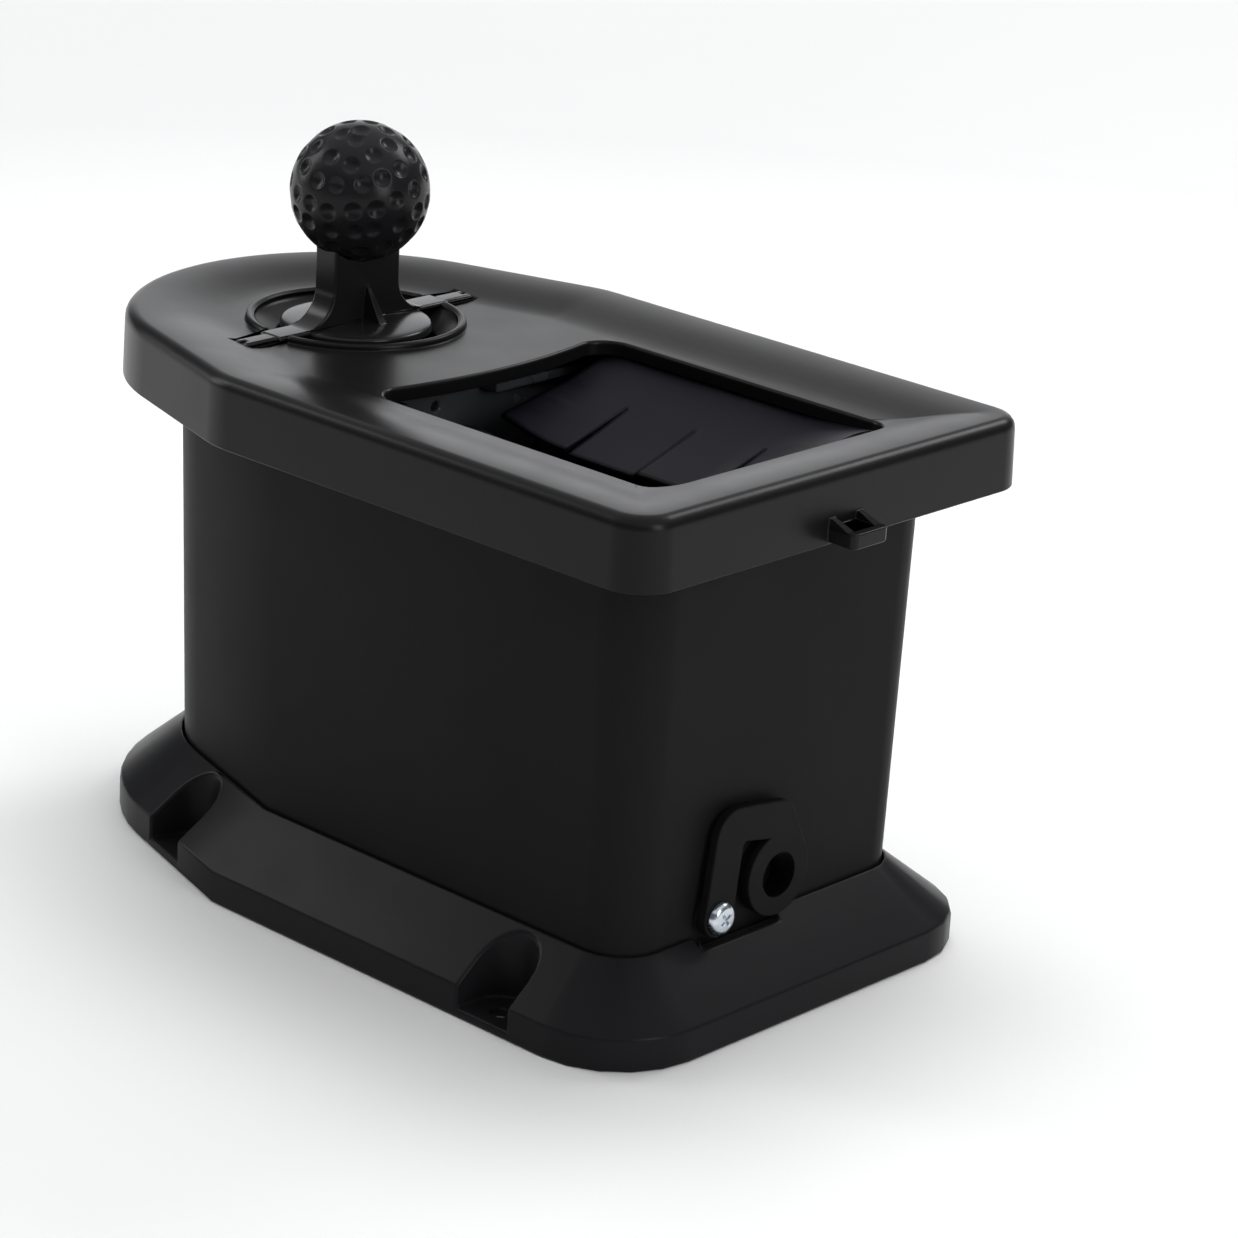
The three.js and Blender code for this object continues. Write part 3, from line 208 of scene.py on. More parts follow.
# %% Soft boxes
def soft_box(name, place, aim, width, height, watts):
    """A rectangular area light at a place, facing a point."""
    light = bpy.data.lights.new(name, "AREA")
    light.shape = "RECTANGLE"
    light.size, light.size_y, light.energy = width, height, watts
    box = bpy.data.objects.new(name, light)
    box.location = place
    box.rotation_euler = (Vector(aim) - Vector(place)).to_track_quat("-Z", "Y").to_euler()
    bpy.context.scene.collection.objects.link(box)
    return box


# The one overhead only fills: mirrored, it would draw a second line along the lid's edge
above = soft_box("soft_box_above", (-0.2, 0.3, 1.5), (0, 0, 0.1), 0.9, 0.6, 10)
above.visible_glossy = False
soft_box("soft_box_left", (-1.2, -0.5, 0.7), (0, 0, 0.12), 0.35, 0.9, 4)
soft_box("soft_box_right", (1.5, -0.1, 0.75), (0, 0, 0.15), 0.5, 0.9, 7)
soft_box("soft_box_back", (0.15, 1.15, 1.1), (0, 0, 0.15), 0.5, 0.5, 5)
# A wide lamp overhead lifts the paper to white
soft_box("floor_wash", (-0.5, 0.6, 3.0), (-0.5, 0.6, 0), 8.0, 8.0, 110)
print("lights", len(bpy.data.lights))

# %% [markdown]
# ## Finishes
# Nearly everything is polypropylene moulded in black. What tells one piece from the next is the
# tool's polish: the lid is silky, the base a little glossier than the tank, the handle brightest.
# One recipe serves them all: a slow change of tone, a cloudy gloss and a fine moulding grain.

# %% Moulded plastic
def moulded_plastic(name, dark, light, gloss, cloud, grain_mm, grain_height, shine):
    """Black polypropylene from the mould: gloss is the roughness, cloud its spread, shine the
    share of light that the etched skin sends back."""
    material, tree = new_material(name)
    place = add_node(tree, "ShaderNodeTexCoord").outputs["Object"]
    # Flow of the melt: patches of 60 mm or so, far too faint to see as a pattern
    flow = add_node(tree, "ShaderNodeTexNoise", {"Scale": 1 / 0.06, "Detail": 3.0},
                    {"Vector": place})
    tone = add_node(tree, "ShaderNodeValToRGB", links={"Fac": flow.outputs["Fac"]})
    tone.color_ramp.elements[0].position = 0.3
    tone.color_ramp.elements[1].position = 0.7
    tone.color_ramp.elements[0].color = colour(dark)
    tone.color_ramp.elements[1].color = colour(light)
    # Handling: blotches of 18 mm that are a touch duller
    haze = add_node(tree, "ShaderNodeTexNoise", {"Scale": 1 / 0.018, "Detail": 2.0},
                    {"Vector": place})
    rough = add_node(tree, "ShaderNodeMapRange",
                     {"From Min": 0.3, "From Max": 0.7, "To Min": gloss - cloud,
                      "To Max": gloss + cloud}, {"Value": haze.outputs["Fac"]})
    grain = add_node(tree, "ShaderNodeTexNoise",
                     {"Scale": 1 / (grain_mm * millimetre), "Detail": 2.0}, {"Vector": place})
    relief = add_node(tree, "ShaderNodeBump",
                      {"Strength": 0.35, "Distance": grain_height * millimetre},
                      {"Height": grain.outputs["Fac"]})
    surface = add_node(tree, "ShaderNodeBsdfPrincipled", {"IOR": 1.49, "Specular IOR Level": shine},
                       {"Base Color": tone.outputs["Color"], "Roughness": rough.outputs["Result"],
                        "Normal": relief.outputs["Normal"]})
    add_node(tree, "ShaderNodeOutputMaterial", links={"Surface": surface.outputs["BSDF"]})
    return material


# Silky and a little grey: a lightly etched mould
lid_plastic = moulded_plastic("polypropylene_black_silk", "#121213", "#161617", gloss=0.30,
                              cloud=0.02, grain_mm=0.6, grain_height=0.04, shine=0.155)
# Dull and deep: the tall walls keep the mould's finest texture
tank_plastic = moulded_plastic("polypropylene_black_dull", "#1A1A1B", "#1D1D1E", gloss=0.44,
                               cloud=0.02, grain_mm=0.8, grain_height=0.04, shine=0.04)
# Glossier: the base shows clear soft highlights along its slope
base_plastic = moulded_plastic("polypropylene_black_gloss", "#1B1B1D", "#1F1F21", gloss=0.31,
                               cloud=0.02, grain_mm=1.2, grain_height=0.02, shine=0.08)
# Satin: hands have worn the knob smooth, so every dimple holds a small highlight
knob_plastic = moulded_plastic("polypropylene_black_satin", "#1A1A1C", "#1E1E20", gloss=0.27,
                               cloud=0.03, grain_mm=0.5, grain_height=0.03, shine=0.17)
# Polished: the handle comes out of a bright mould, and its wings flash silver at a low angle
handle_plastic = moulded_plastic("polypropylene_black_polished", "#1B1B1C", "#1E1E1F",
                                 gloss=0.22, cloud=0.02, grain_mm=0.5, grain_height=0.02,
                                 shine=0.28)
# Inside parts, a shade lighter so that they read in the shadow
inner_plastic = moulded_plastic("polypropylene_charcoal", "#1B1C1E", "#222326", gloss=0.40,
                                cloud=0.04, grain_mm=0.8, grain_height=0.04, shine=0.3)
# Painted highlight: pale grey gloss, so the divider's ledges draw a bright line in the opening's
# dark
divider_highlight_plastic = moulded_plastic("polypropylene_grey_painted_highlight", "#505255", "#595B5E", gloss=0.25,
                                  cloud=0.03, grain_mm=0.8, grain_height=0.03, shine=0.5)
print("finishes so far", len(bpy.data.materials))

# %% [markdown]
# Rubber is duller than plastic and slightly blue where it is thin. EPDM sheet has a calendered
# surface with faint long streaks, and a moulded plug is plain matt.

# %% Rubber
def rubber(name, dark, light, gloss, streak):
    """EPDM rubber: gloss is its roughness, and streak stretches its bloom along X."""
    material, tree = new_material(name)
    place = add_node(tree, "ShaderNodeTexCoord").outputs["Object"]
    # Bloom: a grey breath in patches of 9 mm
    drawn = add_node(tree, "ShaderNodeMapping", {"Scale": (1 / streak, 1, 1)}, {"Vector": place})
    bloom = add_node(tree, "ShaderNodeTexNoise", {"Scale": 1 / 0.009, "Detail": 6.0,
                                                  "Roughness": 0.6},
                     {"Vector": drawn.outputs["Vector"]})
    tone = add_node(tree, "ShaderNodeValToRGB", links={"Fac": bloom.outputs["Fac"]})
    tone.color_ramp.elements[0].position = 0.35
    tone.color_ramp.elements[1].position = 0.75
    tone.color_ramp.elements[0].color = colour(dark)
    tone.color_ramp.elements[1].color = colour(light)
    rough = add_node(tree, "ShaderNodeMapRange",
                     {"From Min": 0.3, "From Max": 0.7, "To Min": gloss - 0.06,
                      "To Max": gloss + 0.08}, {"Value": bloom.outputs["Fac"]})
    relief = add_node(tree, "ShaderNodeBump", {"Strength": 0.3, "Distance": 0.05 * millimetre},
                      {"Height": bloom.outputs["Fac"]})
    surface = add_node(tree, "ShaderNodeBsdfPrincipled", {"IOR": 1.52, "Specular IOR Level": 0.08},
                       {"Base Color": tone.outputs["Color"], "Roughness": rough.outputs["Result"],
                        "Normal": relief.outputs["Normal"]})
    add_node(tree, "ShaderNodeOutputMaterial", links={"Surface": surface.outputs["BSDF"]})
    return material


# Calendered: a blue-black sheet with a faint long streak from the rolls
flap_rubber = rubber("epdm_sheet_calendered", "#121217", "#1A1A21", gloss=0.38, streak=5)
# Matt: plug and strap show only their rounded edges
plug_rubber = rubber("epdm_moulded_matt", "#111112", "#161617", gloss=0.55, streak=1)
# Foam skin: the gasket is the dullest line between lid and tank
gasket_rubber = rubber("epdm_foam_skin", "#1A1A1B", "#222223", gloss=0.7, streak=1)
# Painted shade: nearly black, so that the slits between the fingers read as dark lines
slit_shade_rubber = rubber("epdm_painted_slit_shade", "#040405", "#070708", gloss=0.85, streak=1)
print("rubbers", len([m for m in bpy.data.materials if m.name.startswith("epdm")]))

# %% [markdown]
# The strap's screw is the only metal in sight. Bright zinc plating on steel is a mirror with a
# slight blue, clouded by its own crystals. The bristles are nylon: thin, dark and a bit waxy.

# %% Zinc and nylon
zinc, tree = new_material("zinc_plated_steel")
place = add_node(tree, "ShaderNodeTexCoord").outputs["Object"]
plating = add_node(tree, "ShaderNodeTexNoise", {"Scale": 1 / 0.0012, "Detail": 4.0},
                   {"Vector": place})
tone = add_node(tree, "ShaderNodeValToRGB", links={"Fac": plating.outputs["Fac"]})
tone.color_ramp.elements[0].color = colour("#B9C2CC")
tone.color_ramp.elements[1].color = colour("#E4EAF0")
rough = add_node(tree, "ShaderNodeMapRange", {"To Min": 0.16, "To Max": 0.34},
                 {"Value": plating.outputs["Fac"]})
surface = add_node(tree, "ShaderNodeBsdfPrincipled", {"Metallic": 1.0},
                   {"Base Color": tone.outputs["Color"], "Roughness": rough.outputs["Result"]})
add_node(tree, "ShaderNodeOutputMaterial", links={"Surface": surface.outputs["BSDF"]})

nylon, tree = new_material("nylon_bristle_dark")
place = add_node(tree, "ShaderNodeTexCoord").outputs["Object"]
# One filament from the next: cells of 1.5 mm, a tuft's own width
strands = add_node(tree, "ShaderNodeTexNoise", {"Scale": 1 / 0.0015, "Detail": 1.0},
                   {"Vector": place})
tone = add_node(tree, "ShaderNodeValToRGB", links={"Fac": strands.outputs["Fac"]})
tone.color_ramp.elements[0].color = colour("#15181D")
tone.color_ramp.elements[1].color = colour("#2B3038")
surface = add_node(tree, "ShaderNodeBsdfPrincipled", {"Roughness": 0.42, "IOR": 1.53},
                   {"Base Color": tone.outputs["Color"]})
add_node(tree, "ShaderNodeOutputMaterial", links={"Surface": surface.outputs["BSDF"]})
print("finishes", [m.name for m in bpy.data.materials])

# %% [markdown]
# ## Drawing tools
# A few small tools draw every shape: a pen that walks straight or turns about a point (Blender's
# spin), a bridge between rings, a thickened outline, and the Boolean that joins or cuts solids.
# A pen was chosen over lists of points because a line and an arc say what they are.

# %% Pens and skins
def walk(bm, pen, place):
    """Draw a straight edge from the pen to a place."""
    end = bmesh.ops.extrude_vert_indiv(bm, verts=[pen])["verts"][0]
    end.co = place
    return end


def turn(bm, pen, centre, degrees, steps, axis=(0, 0, 1)):
    """Draw an arc by turning the pen about a line."""
    arc = bmesh.ops.spin(bm, geom=[pen], cent=centre, axis=axis, angle=math.radians(degrees),
                         steps=steps)
    return [v for v in arc["geom_last"] if isinstance(v, bmesh.types.BMVert)][0]


def start(bm, place):
    """Set the pen down."""
    return bmesh.ops.create_vert(bm, co=place)["vert"][0]


def close(bm, pen, first, before):
    """End a ring at its first vertex, and return the ring's edges."""
    if (pen.co - first.co).length > 1e-3:
        bmesh.ops.contextual_create(bm, geom=[pen, first])
    else:
        bmesh.ops.weld_verts(bm, targetmap={pen: first})
    return [edge for edge in bm.edges if edge not in before]


def loft(bm, rings):
    """Skin a stack of rings, and fill the first and the last."""
    for lower, upper in zip(rings, rings[1:]):
        bmesh.ops.bridge_loops(bm, edges=lower + upper)
    bmesh.ops.edgeloop_fill(bm, edges=rings[0])
    bmesh.ops.edgeloop_fill(bm, edges=rings[-1])
    bmesh.ops.recalc_face_normals(bm, faces=bm.faces)
    return bm


def stack(make):
    """A closed solid from a function that draws its rings."""
    bm = bmesh.new()
    return loft(bm, make(bm))


def thicken(bm, away):
    """Fill a closed flat outline and give it thickness."""
    flat = bmesh.ops.edgeloop_fill(bm, edges=bm.edges)["faces"]
    far_side = bmesh.ops.extrude_face_region(bm, geom=flat)["geom"]
    bmesh.ops.translate(bm, vec=away,
                        verts=[v for v in far_side if isinstance(v, bmesh.types.BMVert)])
    bmesh.ops.recalc_face_normals(bm, faces=bm.faces)
    return bm


def prism(places, away):
    """A straight-sided outline through some places, given thickness."""
    bm = bmesh.new()
    first = pen = start(bm, places[0])
    for place in places[1:]:
        pen = walk(bm, pen, place)
    bmesh.ops.contextual_create(bm, geom=[pen, first])
    return thicken(bm, away)


# %% Rounding and Boolean
sharp_angle = 0.7  # radians, about 40 degrees


def round_edges(bm, width, chosen):
    """Round the chosen sharp edges of a drawing."""
    sharp = [edge for edge in bm.edges if edge.calc_face_angle(0) > sharp_angle and chosen(edge)]
    bmesh.ops.bevel(bm, geom=sharp, offset=width, offset_type="OFFSET", segments=3, profile=0.5,
                    affect="EDGES", clamp_overlap=False, material=-1)


def combine(shape, tool, how):
    """Join, cut or cross two closed shapes, and keep the result in the first."""
    pair = []
    for bm in (shape, tool):
        mesh = bpy.data.meshes.new("work")
        bm.to_mesh(mesh)
        pair.append(bpy.data.objects.new("work", mesh))
        bpy.context.scene.collection.objects.link(pair[-1])
    step = pair[0].modifiers.new("step", "BOOLEAN")
    step.operation, step.solver, step.object = how, "EXACT", pair[1]
    drawn = pair[0].evaluated_get(bpy.context.evaluated_depsgraph_get())
    shape.clear()
    shape.from_mesh(drawn.to_mesh())
    drawn.to_mesh_clear()
    for temporary in pair:
        mesh = temporary.data
        bpy.data.objects.remove(temporary)
        bpy.data.meshes.remove(mesh)
    tool.free()


# %% Simple solids
def about(middle, half):
    """A pair of limits on both sides of a middle."""
    return middle - half, middle + half


def block(x, y, z):
    """A box from pairs of limits."""
    bm = bmesh.new()
    size = Matrix.Diagonal((x[1] - x[0], y[1] - y[0], z[1] - z[0], 1))
    middle = Matrix.Translation(((x[0] + x[1]) / 2, (y[0] + y[1]) / 2, (z[0] + z[1]) / 2))
    bmesh.ops.create_cube(bm, size=1, matrix=middle @ size)
    return bm


def turned(pairs, x, steps):
    """A closed profile of (radius, height) pairs turned about an upright line."""
    bm = bmesh.new()
    first = pen = start(bm, (x + pairs[0][0], 0, pairs[0][1]))
    for radius, height in pairs[1:]:
        pen = walk(bm, pen, (x + radius, 0, height))
    bmesh.ops.contextual_create(bm, geom=[pen, first])
    bmesh.ops.spin(bm, geom=bm.verts[:] + bm.edges[:], cent=(x, 0, 0), axis=(0, 0, 1),
                   angle=math.tau, steps=steps, use_merge=True)
    bmesh.ops.remove_doubles(bm, verts=bm.verts, dist=1e-3)
    bmesh.ops.recalc_face_normals(bm, faces=bm.faces)
    return bm


# %% [markdown]
# A finished piece leaves millimetres behind. Its doubles are merged, its normals turned outwards,
# and a narrow Bevel takes the knife edge off every corner, because a moulded edge always shines.
# Pieces that carry their own rounding are given edge=0.

# %% Finishing a piece
def finish(name, bm, body, material, stands_for=(), edge=0.4, crisp=38, segments=2):
    """Turn a drawing into a piece of the washer that rides on a body."""
    bm.transform(to_frame)
    bmesh.ops.remove_doubles(bm, verts=bm.verts, dist=2e-5)
    bmesh.ops.dissolve_degenerate(bm, edges=bm.edges, dist=1e-5)
    bmesh.ops.recalc_face_normals(bm, faces=bm.faces)
    for face in bm.faces:
        face.smooth = True
    if not edge:
        for line in bm.edges:
            line.smooth = line.calc_face_angle(0) < math.radians(crisp)
    mesh = bpy.data.meshes.new(name)
    bm.to_mesh(mesh)
    bm.free()
    mesh.materials.append(material)
    thing = bpy.data.objects.new(name, mesh)
    bpy.context.scene.collection.objects.link(thing)
    if edge:
        soften = thing.modifiers.new("soft_edges", "BEVEL")
        soften.width, soften.segments = edge * millimetre, segments
        soften.limit_method, soften.angle_limit = "ANGLE", math.radians(crisp)
        soften.use_clamp_overlap = False
    even = thing.modifiers.new("even_shading", "WEIGHTED_NORMAL")
    even.keep_sharp = True
    if body:
        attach(thing, body)
    if stands_for:
        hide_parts(*stands_for)
    print(name, len(mesh.polygons), "faces")
    return thing


# %% [markdown]
# ## Plan of the lid
# Seen from above, the lid is square with round corners at one end, and two facets lean in to a
# round nose about the plunger. The pen draws that plan at any inset, so the lid is a stack of
# rings. Every ring has the same number of points, which is what a bridge needs.

# %% Plan ring
facet, bend_round, least_corner = 16.9, 36, 1.5
half_length, half_width, corner_radius, nose_radius = 135, 82.5, 12.5, 70.4
corner_steps, bend_steps, nose_steps = 8, 3, 48


def plan_ring(bm, inset, height):
    """One closed outline of the lid, drawn in from its rim."""
    slope = math.radians(facet)
    end = half_length - inset
    side = half_width - inset
    nose = nose_radius - inset
    nose_x = nose_radius - half_length
    corner = max(corner_radius - inset, least_corner)
    soft = max(bend_round - inset, least_corner)
    bend_x = nose_x - (nose - math.cos(slope) * side) / math.sin(slope) + soft * math.tan(slope / 2)
    before = set(bm.edges)
    first = start(bm, (bend_x, -side, height))
    pen = walk(bm, first, (end - corner, -side, height))
    pen = turn(bm, pen, (end - corner, corner - side, height), 90, corner_steps)
    pen = walk(bm, pen, (end, side - corner, height))
    pen = turn(bm, pen, (end - corner, side - corner, height), 90, corner_steps)
    pen = walk(bm, pen, (bend_x, side, height))
    pen = turn(bm, pen, (bend_x, side - soft, height), facet, bend_steps)
    pen = walk(bm, pen, (nose_x - nose * math.sin(slope), nose * math.cos(slope), height))
    pen = turn(bm, pen, (nose_x, 0, height), 180 - 2 * facet, nose_steps)
    pen = walk(bm, pen, (bend_x - soft * math.sin(slope), soft - side - soft * math.cos(slope),
                         height))
    pen = turn(bm, pen, (bend_x, soft - side, height), facet, bend_steps)
    return close(bm, pen, first, before)


# %% [markdown]
# ## Lid
# The lid is one moulding. Its skirt leans in a little, its edge is a 4 mm round, and behind the
# proud border the panel sinks by 3.9 mm in a slow curve. The opening, the plunger's funnel with
# its raised lip, and the towel loop are all part of it. Rings make the big form, and Booleans
# make the rest, as inserts do in the mould.

# %% Lid skin
lid_top, lid_panel, skirt_bottom = 164.7, 160.8, 143.5
lid_wall, edge_round, draft, sink, dish_width = 3, 4, 0.5, 3.9, 29
edge_steps, dish_steps, dish_skew = 6, 8, 1.25


def dish_depth(share):
    """The dish's depth at a share of its width: flat, then down in an S, then flat again."""
    eased = share ** dish_skew
    return sink * eased * eased * (3 - 2 * eased)


def lid_rings(bm, wall):
    """The skin at a wall's depth: up the skirt, over the edge and down into the dish."""
    rings = []
    for step in range(edge_steps + 1):
        tip = math.radians(90 * step / edge_steps)
        rings.append(plan_ring(bm, draft + wall + edge_round * (1 - math.cos(tip)),
                               lid_top - wall - edge_round * (1 - math.sin(tip))))
    for step in range(1, dish_steps + 1):
        rings.append(plan_ring(bm, edge_round + wall + dish_width * step / dish_steps,
                               lid_top - wall - dish_depth(step / dish_steps)))
    return rings


lid = stack(lambda bm: [plan_ring(bm, 0, skirt_bottom), *lid_rings(bm, 0)])
inside = stack(lambda bm: [plan_ring(bm, lid_wall, skirt_bottom - 6), *lid_rings(bm, lid_wall)])
combine(lid, inside, "DIFFERENCE")
print("lid shell", len(lid.faces), "faces")

# %% Opening outline
opening_near, opening_far, opening_side = -5, 110.6, 48.8
opening_corner, opening_bow, bow_steps = 9, 4.5, 16


def opening_ring(bm, grow, height):
    """The club opening's outline; its near side bows out of the plunger's way."""
    near, far, side = opening_near - grow, opening_far + grow, opening_side + grow
    corner = opening_corner + grow
    half = side - corner
    bow = (half * half + opening_bow * opening_bow) / (2 * opening_bow)
    before = set(bm.edges)
    first = start(bm, (near, -half, height))
    pen = turn(bm, first, (near + corner, -half, height), 90, corner_steps)
    pen = walk(bm, pen, (far - corner, -side, height))
    pen = turn(bm, pen, (far - corner, -half, height), 90, corner_steps)
    pen = walk(bm, pen, (far, half, height))
    pen = turn(bm, pen, (far - corner, half, height), 90, corner_steps)
    pen = walk(bm, pen, (near + corner, side, height))
    pen = turn(bm, pen, (near + corner, half, height), 90, corner_steps)
    swing = math.degrees(2 * math.asin(half / bow))
    pen = turn(bm, pen, (near + opening_bow - bow, 0, height), -swing, bow_steps)
    return close(bm, pen, first, before)


# %% Opening's rim and cutter
rim_thick, rim_depth, lip_round, lip_slack = 2.6, 4.6, 1.1, 0.22
below_all, above_all = 140, 180
rim = stack(lambda bm: [opening_ring(bm, rim_thick, height)
                        for height in (lid_panel - rim_depth, lid_panel - 1)])
combine(lid, rim, "UNION")


def panel_rise(x, y):
    """How far the dish stands over its floor at a place."""
    inset = min(half_length - x, half_width - abs(y))
    return sink - dish_depth(min(1, max(0, (inset - edge_round) / dish_width)))


def mouth_rings(bm):
    """The opening's cutter: straight walls that flare in a small round at the surface."""
    rings = [opening_ring(bm, 0, lid_panel - 12)]
    for tip in (0, 22.5, 45, 67.5):
        out, up = math.cos(math.radians(tip)), math.sin(math.radians(tip))
        rings.append(opening_ring(bm, lip_round * (1 - out), lid_panel - lip_round * (1 - up)))
    rings.append(opening_ring(bm, lip_round * 1.3, lid_panel + lip_slack))
    # The flare follows the dish as it climbs
    for vert in bm.verts:
        if vert.co.z > lid_panel - 2 * lip_round:
            vert.co.z += panel_rise(vert.co.x, vert.co.y)
    rings.append(opening_ring(bm, lip_round * 1.3, lid_top + 6))
    return rings


mouth = stack(mouth_rings)
print("cutter", len(mouth.faces), "faces")

# %% Plunger's funnel and ring lip
plunger_x, hole_radius, funnel_radius = -64, 24.3, 31.5
collar_foot, collar_top, collar_wall, throat_top = 149.8, 153.8, 3, 156.6
bead, bead_steps, round_steps = 2.3, 8, 96
wing_slot, wing_reach = 5.2, 47
# From the inside up: collar, cone, then the round bead that stands on the panel
seat_profile = [(hole_radius - 0.6, collar_foot), (hole_radius + collar_wall, collar_foot),
                (hole_radius + collar_wall, collar_top),
                (funnel_radius + bead, lid_panel - lid_wall)]
for step in range(bead_steps):
    tip = math.radians(180 * step / bead_steps)
    seat_profile.append((funnel_radius + bead / 2 * (1 + math.cos(tip)),
                         lid_panel + bead * 0.4 + bead / 2 * math.sin(tip)))
seat_profile.append((hole_radius - 0.6, lid_panel + bead * 0.3))
combine(lid, turned(seat_profile, plunger_x, round_steps), "UNION")
hole = turned([(0, below_all), (hole_radius, below_all), (hole_radius, throat_top),
               (hole_radius + 0.5, throat_top + 0.6), (funnel_radius - 1.2, lid_panel - 0.9),
               (funnel_radius - 0.1, lid_panel + 0.2), (funnel_radius - 0.1, above_all),
               (0, above_all)], plunger_x, round_steps)
combine(lid, hole, "DIFFERENCE")
combine(lid, block(about(plunger_x, wing_slot), about(0, wing_reach), (lid_panel, above_all)),
        "DIFFERENCE")
combine(lid, mouth, "DIFFERENCE")
print("lid with opening and funnel", len(lid.faces), "faces")


# %% Towel loop
def round_block_ring(bm, x, y, radius, height, steps=4):
    """A rectangle with round corners, from pairs of limits."""
    before = set(bm.edges)
    left, right, front, back = x[0] + radius, x[1] - radius, y[0] + radius, y[1] - radius
    first = pen = start(bm, (left, y[0], height))
    for centre, side in (((right, front), (right, y[0])), ((right, back), (x[1], back)),
                         ((left, back), (left, y[1])), ((left, front), (x[0], front))):
        pen = walk(bm, pen, (*side, height))
        pen = turn(bm, pen, (*centre, height), 90, steps)
    return close(bm, pen, first, before)


loop_x, loop_half, loop_round = (133, half_length + loop_reach), 7.3, 1.8
eye_end, eye_half = 141.7, 4.3
towel_loop = stack(lambda bm: [
    round_block_ring(bm, loop_x, about(0, loop_half), loop_round, height)
    for height in (144.4, 148.9)])
combine(towel_loop, block((half_length, eye_end), about(0, eye_half), (140, 152)), "DIFFERENCE")
# Each arm of the loop carries a cheek that leans against the skirt
cheek_outline = ((133.6, 148), (142.4, 148), (142.4, 148.8), (135.4, 151.2), (133.6, 151.2))
for low_y, high_y in ((-7, -4.4), (4.4, 7)):
    cheek = prism([(x, low_y, z) for x, z in cheek_outline], (0, high_y - low_y, 0))
    combine(towel_loop, cheek, "UNION")
combine(lid, towel_loop, "UNION")
finish("lid_moulding", lid, "washer_body", lid_plastic, ["lid"], edge=0.5,
       segments=3)

# %% [markdown]
# ## Tank and base
# The CAD solids already have the right form here, so each gets a merged copy: triangles are
# joined, flat neighbours are dissolved into clean faces, and a Bevel rounds the mould's edges.

# %% Copy of a CAD node
def merged_copy(node):
    """A CAD node's triangles joined into clean faces, in millimetres."""
    bm = bmesh.new()
    bm.from_mesh(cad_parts[node].data)
    bmesh.ops.remove_doubles(bm, verts=bm.verts, dist=2e-6)
    bmesh.ops.dissolve_limit(bm, angle_limit=math.radians(0.6), verts=bm.verts, edges=bm.edges)
    bm.transform(to_frame.inverted())
    return bm


def dress(name, shape, node, body, material, edge):
    """Put a CAD form in its node's place, with the soft edges of a mould."""
    finish(name, shape, body, material, [node], edge, crisp=32, segments=3)


def keep_side(bm, place, normal):
    """Cut a closed shape with a plane, drop what lies beyond it and close the cut."""
    bmesh.ops.bisect_plane(bm, geom=bm.verts[:] + bm.edges[:] + bm.faces[:], dist=1e-4,
                           plane_co=place, plane_no=normal, clear_outer=True)
    bmesh.ops.holes_fill(bm, edges=[edge for edge in bm.edges if edge.is_boundary], sides=0)


dress("tank_moulding", merged_copy("tank"), "tank", "washer_body", tank_plastic,
      edge=0.6)
# The relief under the plug is a short crescent: a slice of clean slope closes its square end
slice_x, slice_y, slice_shift = (112, 122), (13, 23), 11.7
base, slope_slice = merged_copy("base_flange"), merged_copy("base_flange")
for place, normal in (((slice_x[0], 0, 0), (-1, 0, 0)), ((slice_x[1], 0, 0), (1, 0, 0)),
                      ((0, slice_y[0], 0), (0, -1, 0)), ((0, slice_y[1], 0), (0, 1, 0))):
    keep_side(slope_slice, place, normal)
bmesh.ops.translate(slope_slice, vec=(0, -slice_shift, 0), verts=slope_slice.verts)
combine(base, slope_slice, "UNION")
dress("base_moulding", base, "base_flange", "washer_body", base_plastic, edge=1.1)
# The divider's pale grey is a painted highlight for its ledges
dress("divider_moulding", merged_copy("divider_wall"), "divider_wall", "washer_body",
      divider_highlight_plastic, edge=0.8)
dress("ball_ring_moulding", merged_copy("ball_ring"), "ball_ring", "plunger",
      inner_plastic, edge=0.4)

# %% [markdown]
# ## Knob
# The knob is a golf ball in black. A fine icosphere has no poles, so the dimples can be pressed
# in anywhere. Each vertex looks for its nearest dimple and sinks into a small bowl.

# %% Knob
knob_radius, knob_z = 21.3, 201.66
dimple_pitch, dimple_radius, dimple_depth, dimple_jitter = 7.4, 2.75, 1.1, 0.05
# The ball sits aslant on its neck, so no row of dimples runs level
tilted = Matrix.Rotation(math.radians(24), 3, Vector((1, 0.6, 0)))
seeded = random.Random(7)
rows = round(math.pi * knob_radius / dimple_pitch)
dimples = []
for row in range(rows):
    polar = math.pi * (row + 0.5) / rows
    count = max(1, round(math.tau * knob_radius * math.sin(polar) / dimple_pitch))
    for i in range(count):
        around = math.tau * (i + (row % 2) / 2) / count
        around += seeded.uniform(-dimple_jitter, dimple_jitter)
        down = polar + seeded.uniform(-dimple_jitter, dimple_jitter)
        dimples.append(tilted @ Vector((math.sin(down) * math.sin(around),
                                        math.sin(down) * math.cos(around), math.cos(down))))
near_dimple = kdtree.KDTree(len(dimples))
for i, centre in enumerate(dimples):
    near_dimple.insert(centre, i)
near_dimple.balance()

knob = bmesh.new()
bmesh.ops.create_icosphere(knob, subdivisions=7, radius=1)
for vert in knob.verts:
    away = near_dimple.find(vert.co)[2]
    share = min(1, 2 * math.asin(min(1, away / 2)) * knob_radius / dimple_radius)
    vert.co *= knob_radius - dimple_depth * (1 - share ** 2)
bmesh.ops.translate(knob, vec=(plunger_x, 0, knob_z), verts=knob.verts)
finish("knob_moulding", knob, "plunger", knob_plastic, ["knob_ball"], edge=0,
       crisp=80)
print("dimples", len(dimples))

# %% [markdown]
# ## Handle
# Under the ball a flat neck runs down, flares out into two wings along its narrow sides, and
# stands on a slightly domed disc that closes the funnel. The neck is a stack of rounded
# rectangles, the disc is turned, and one thin rib props both broad faces.

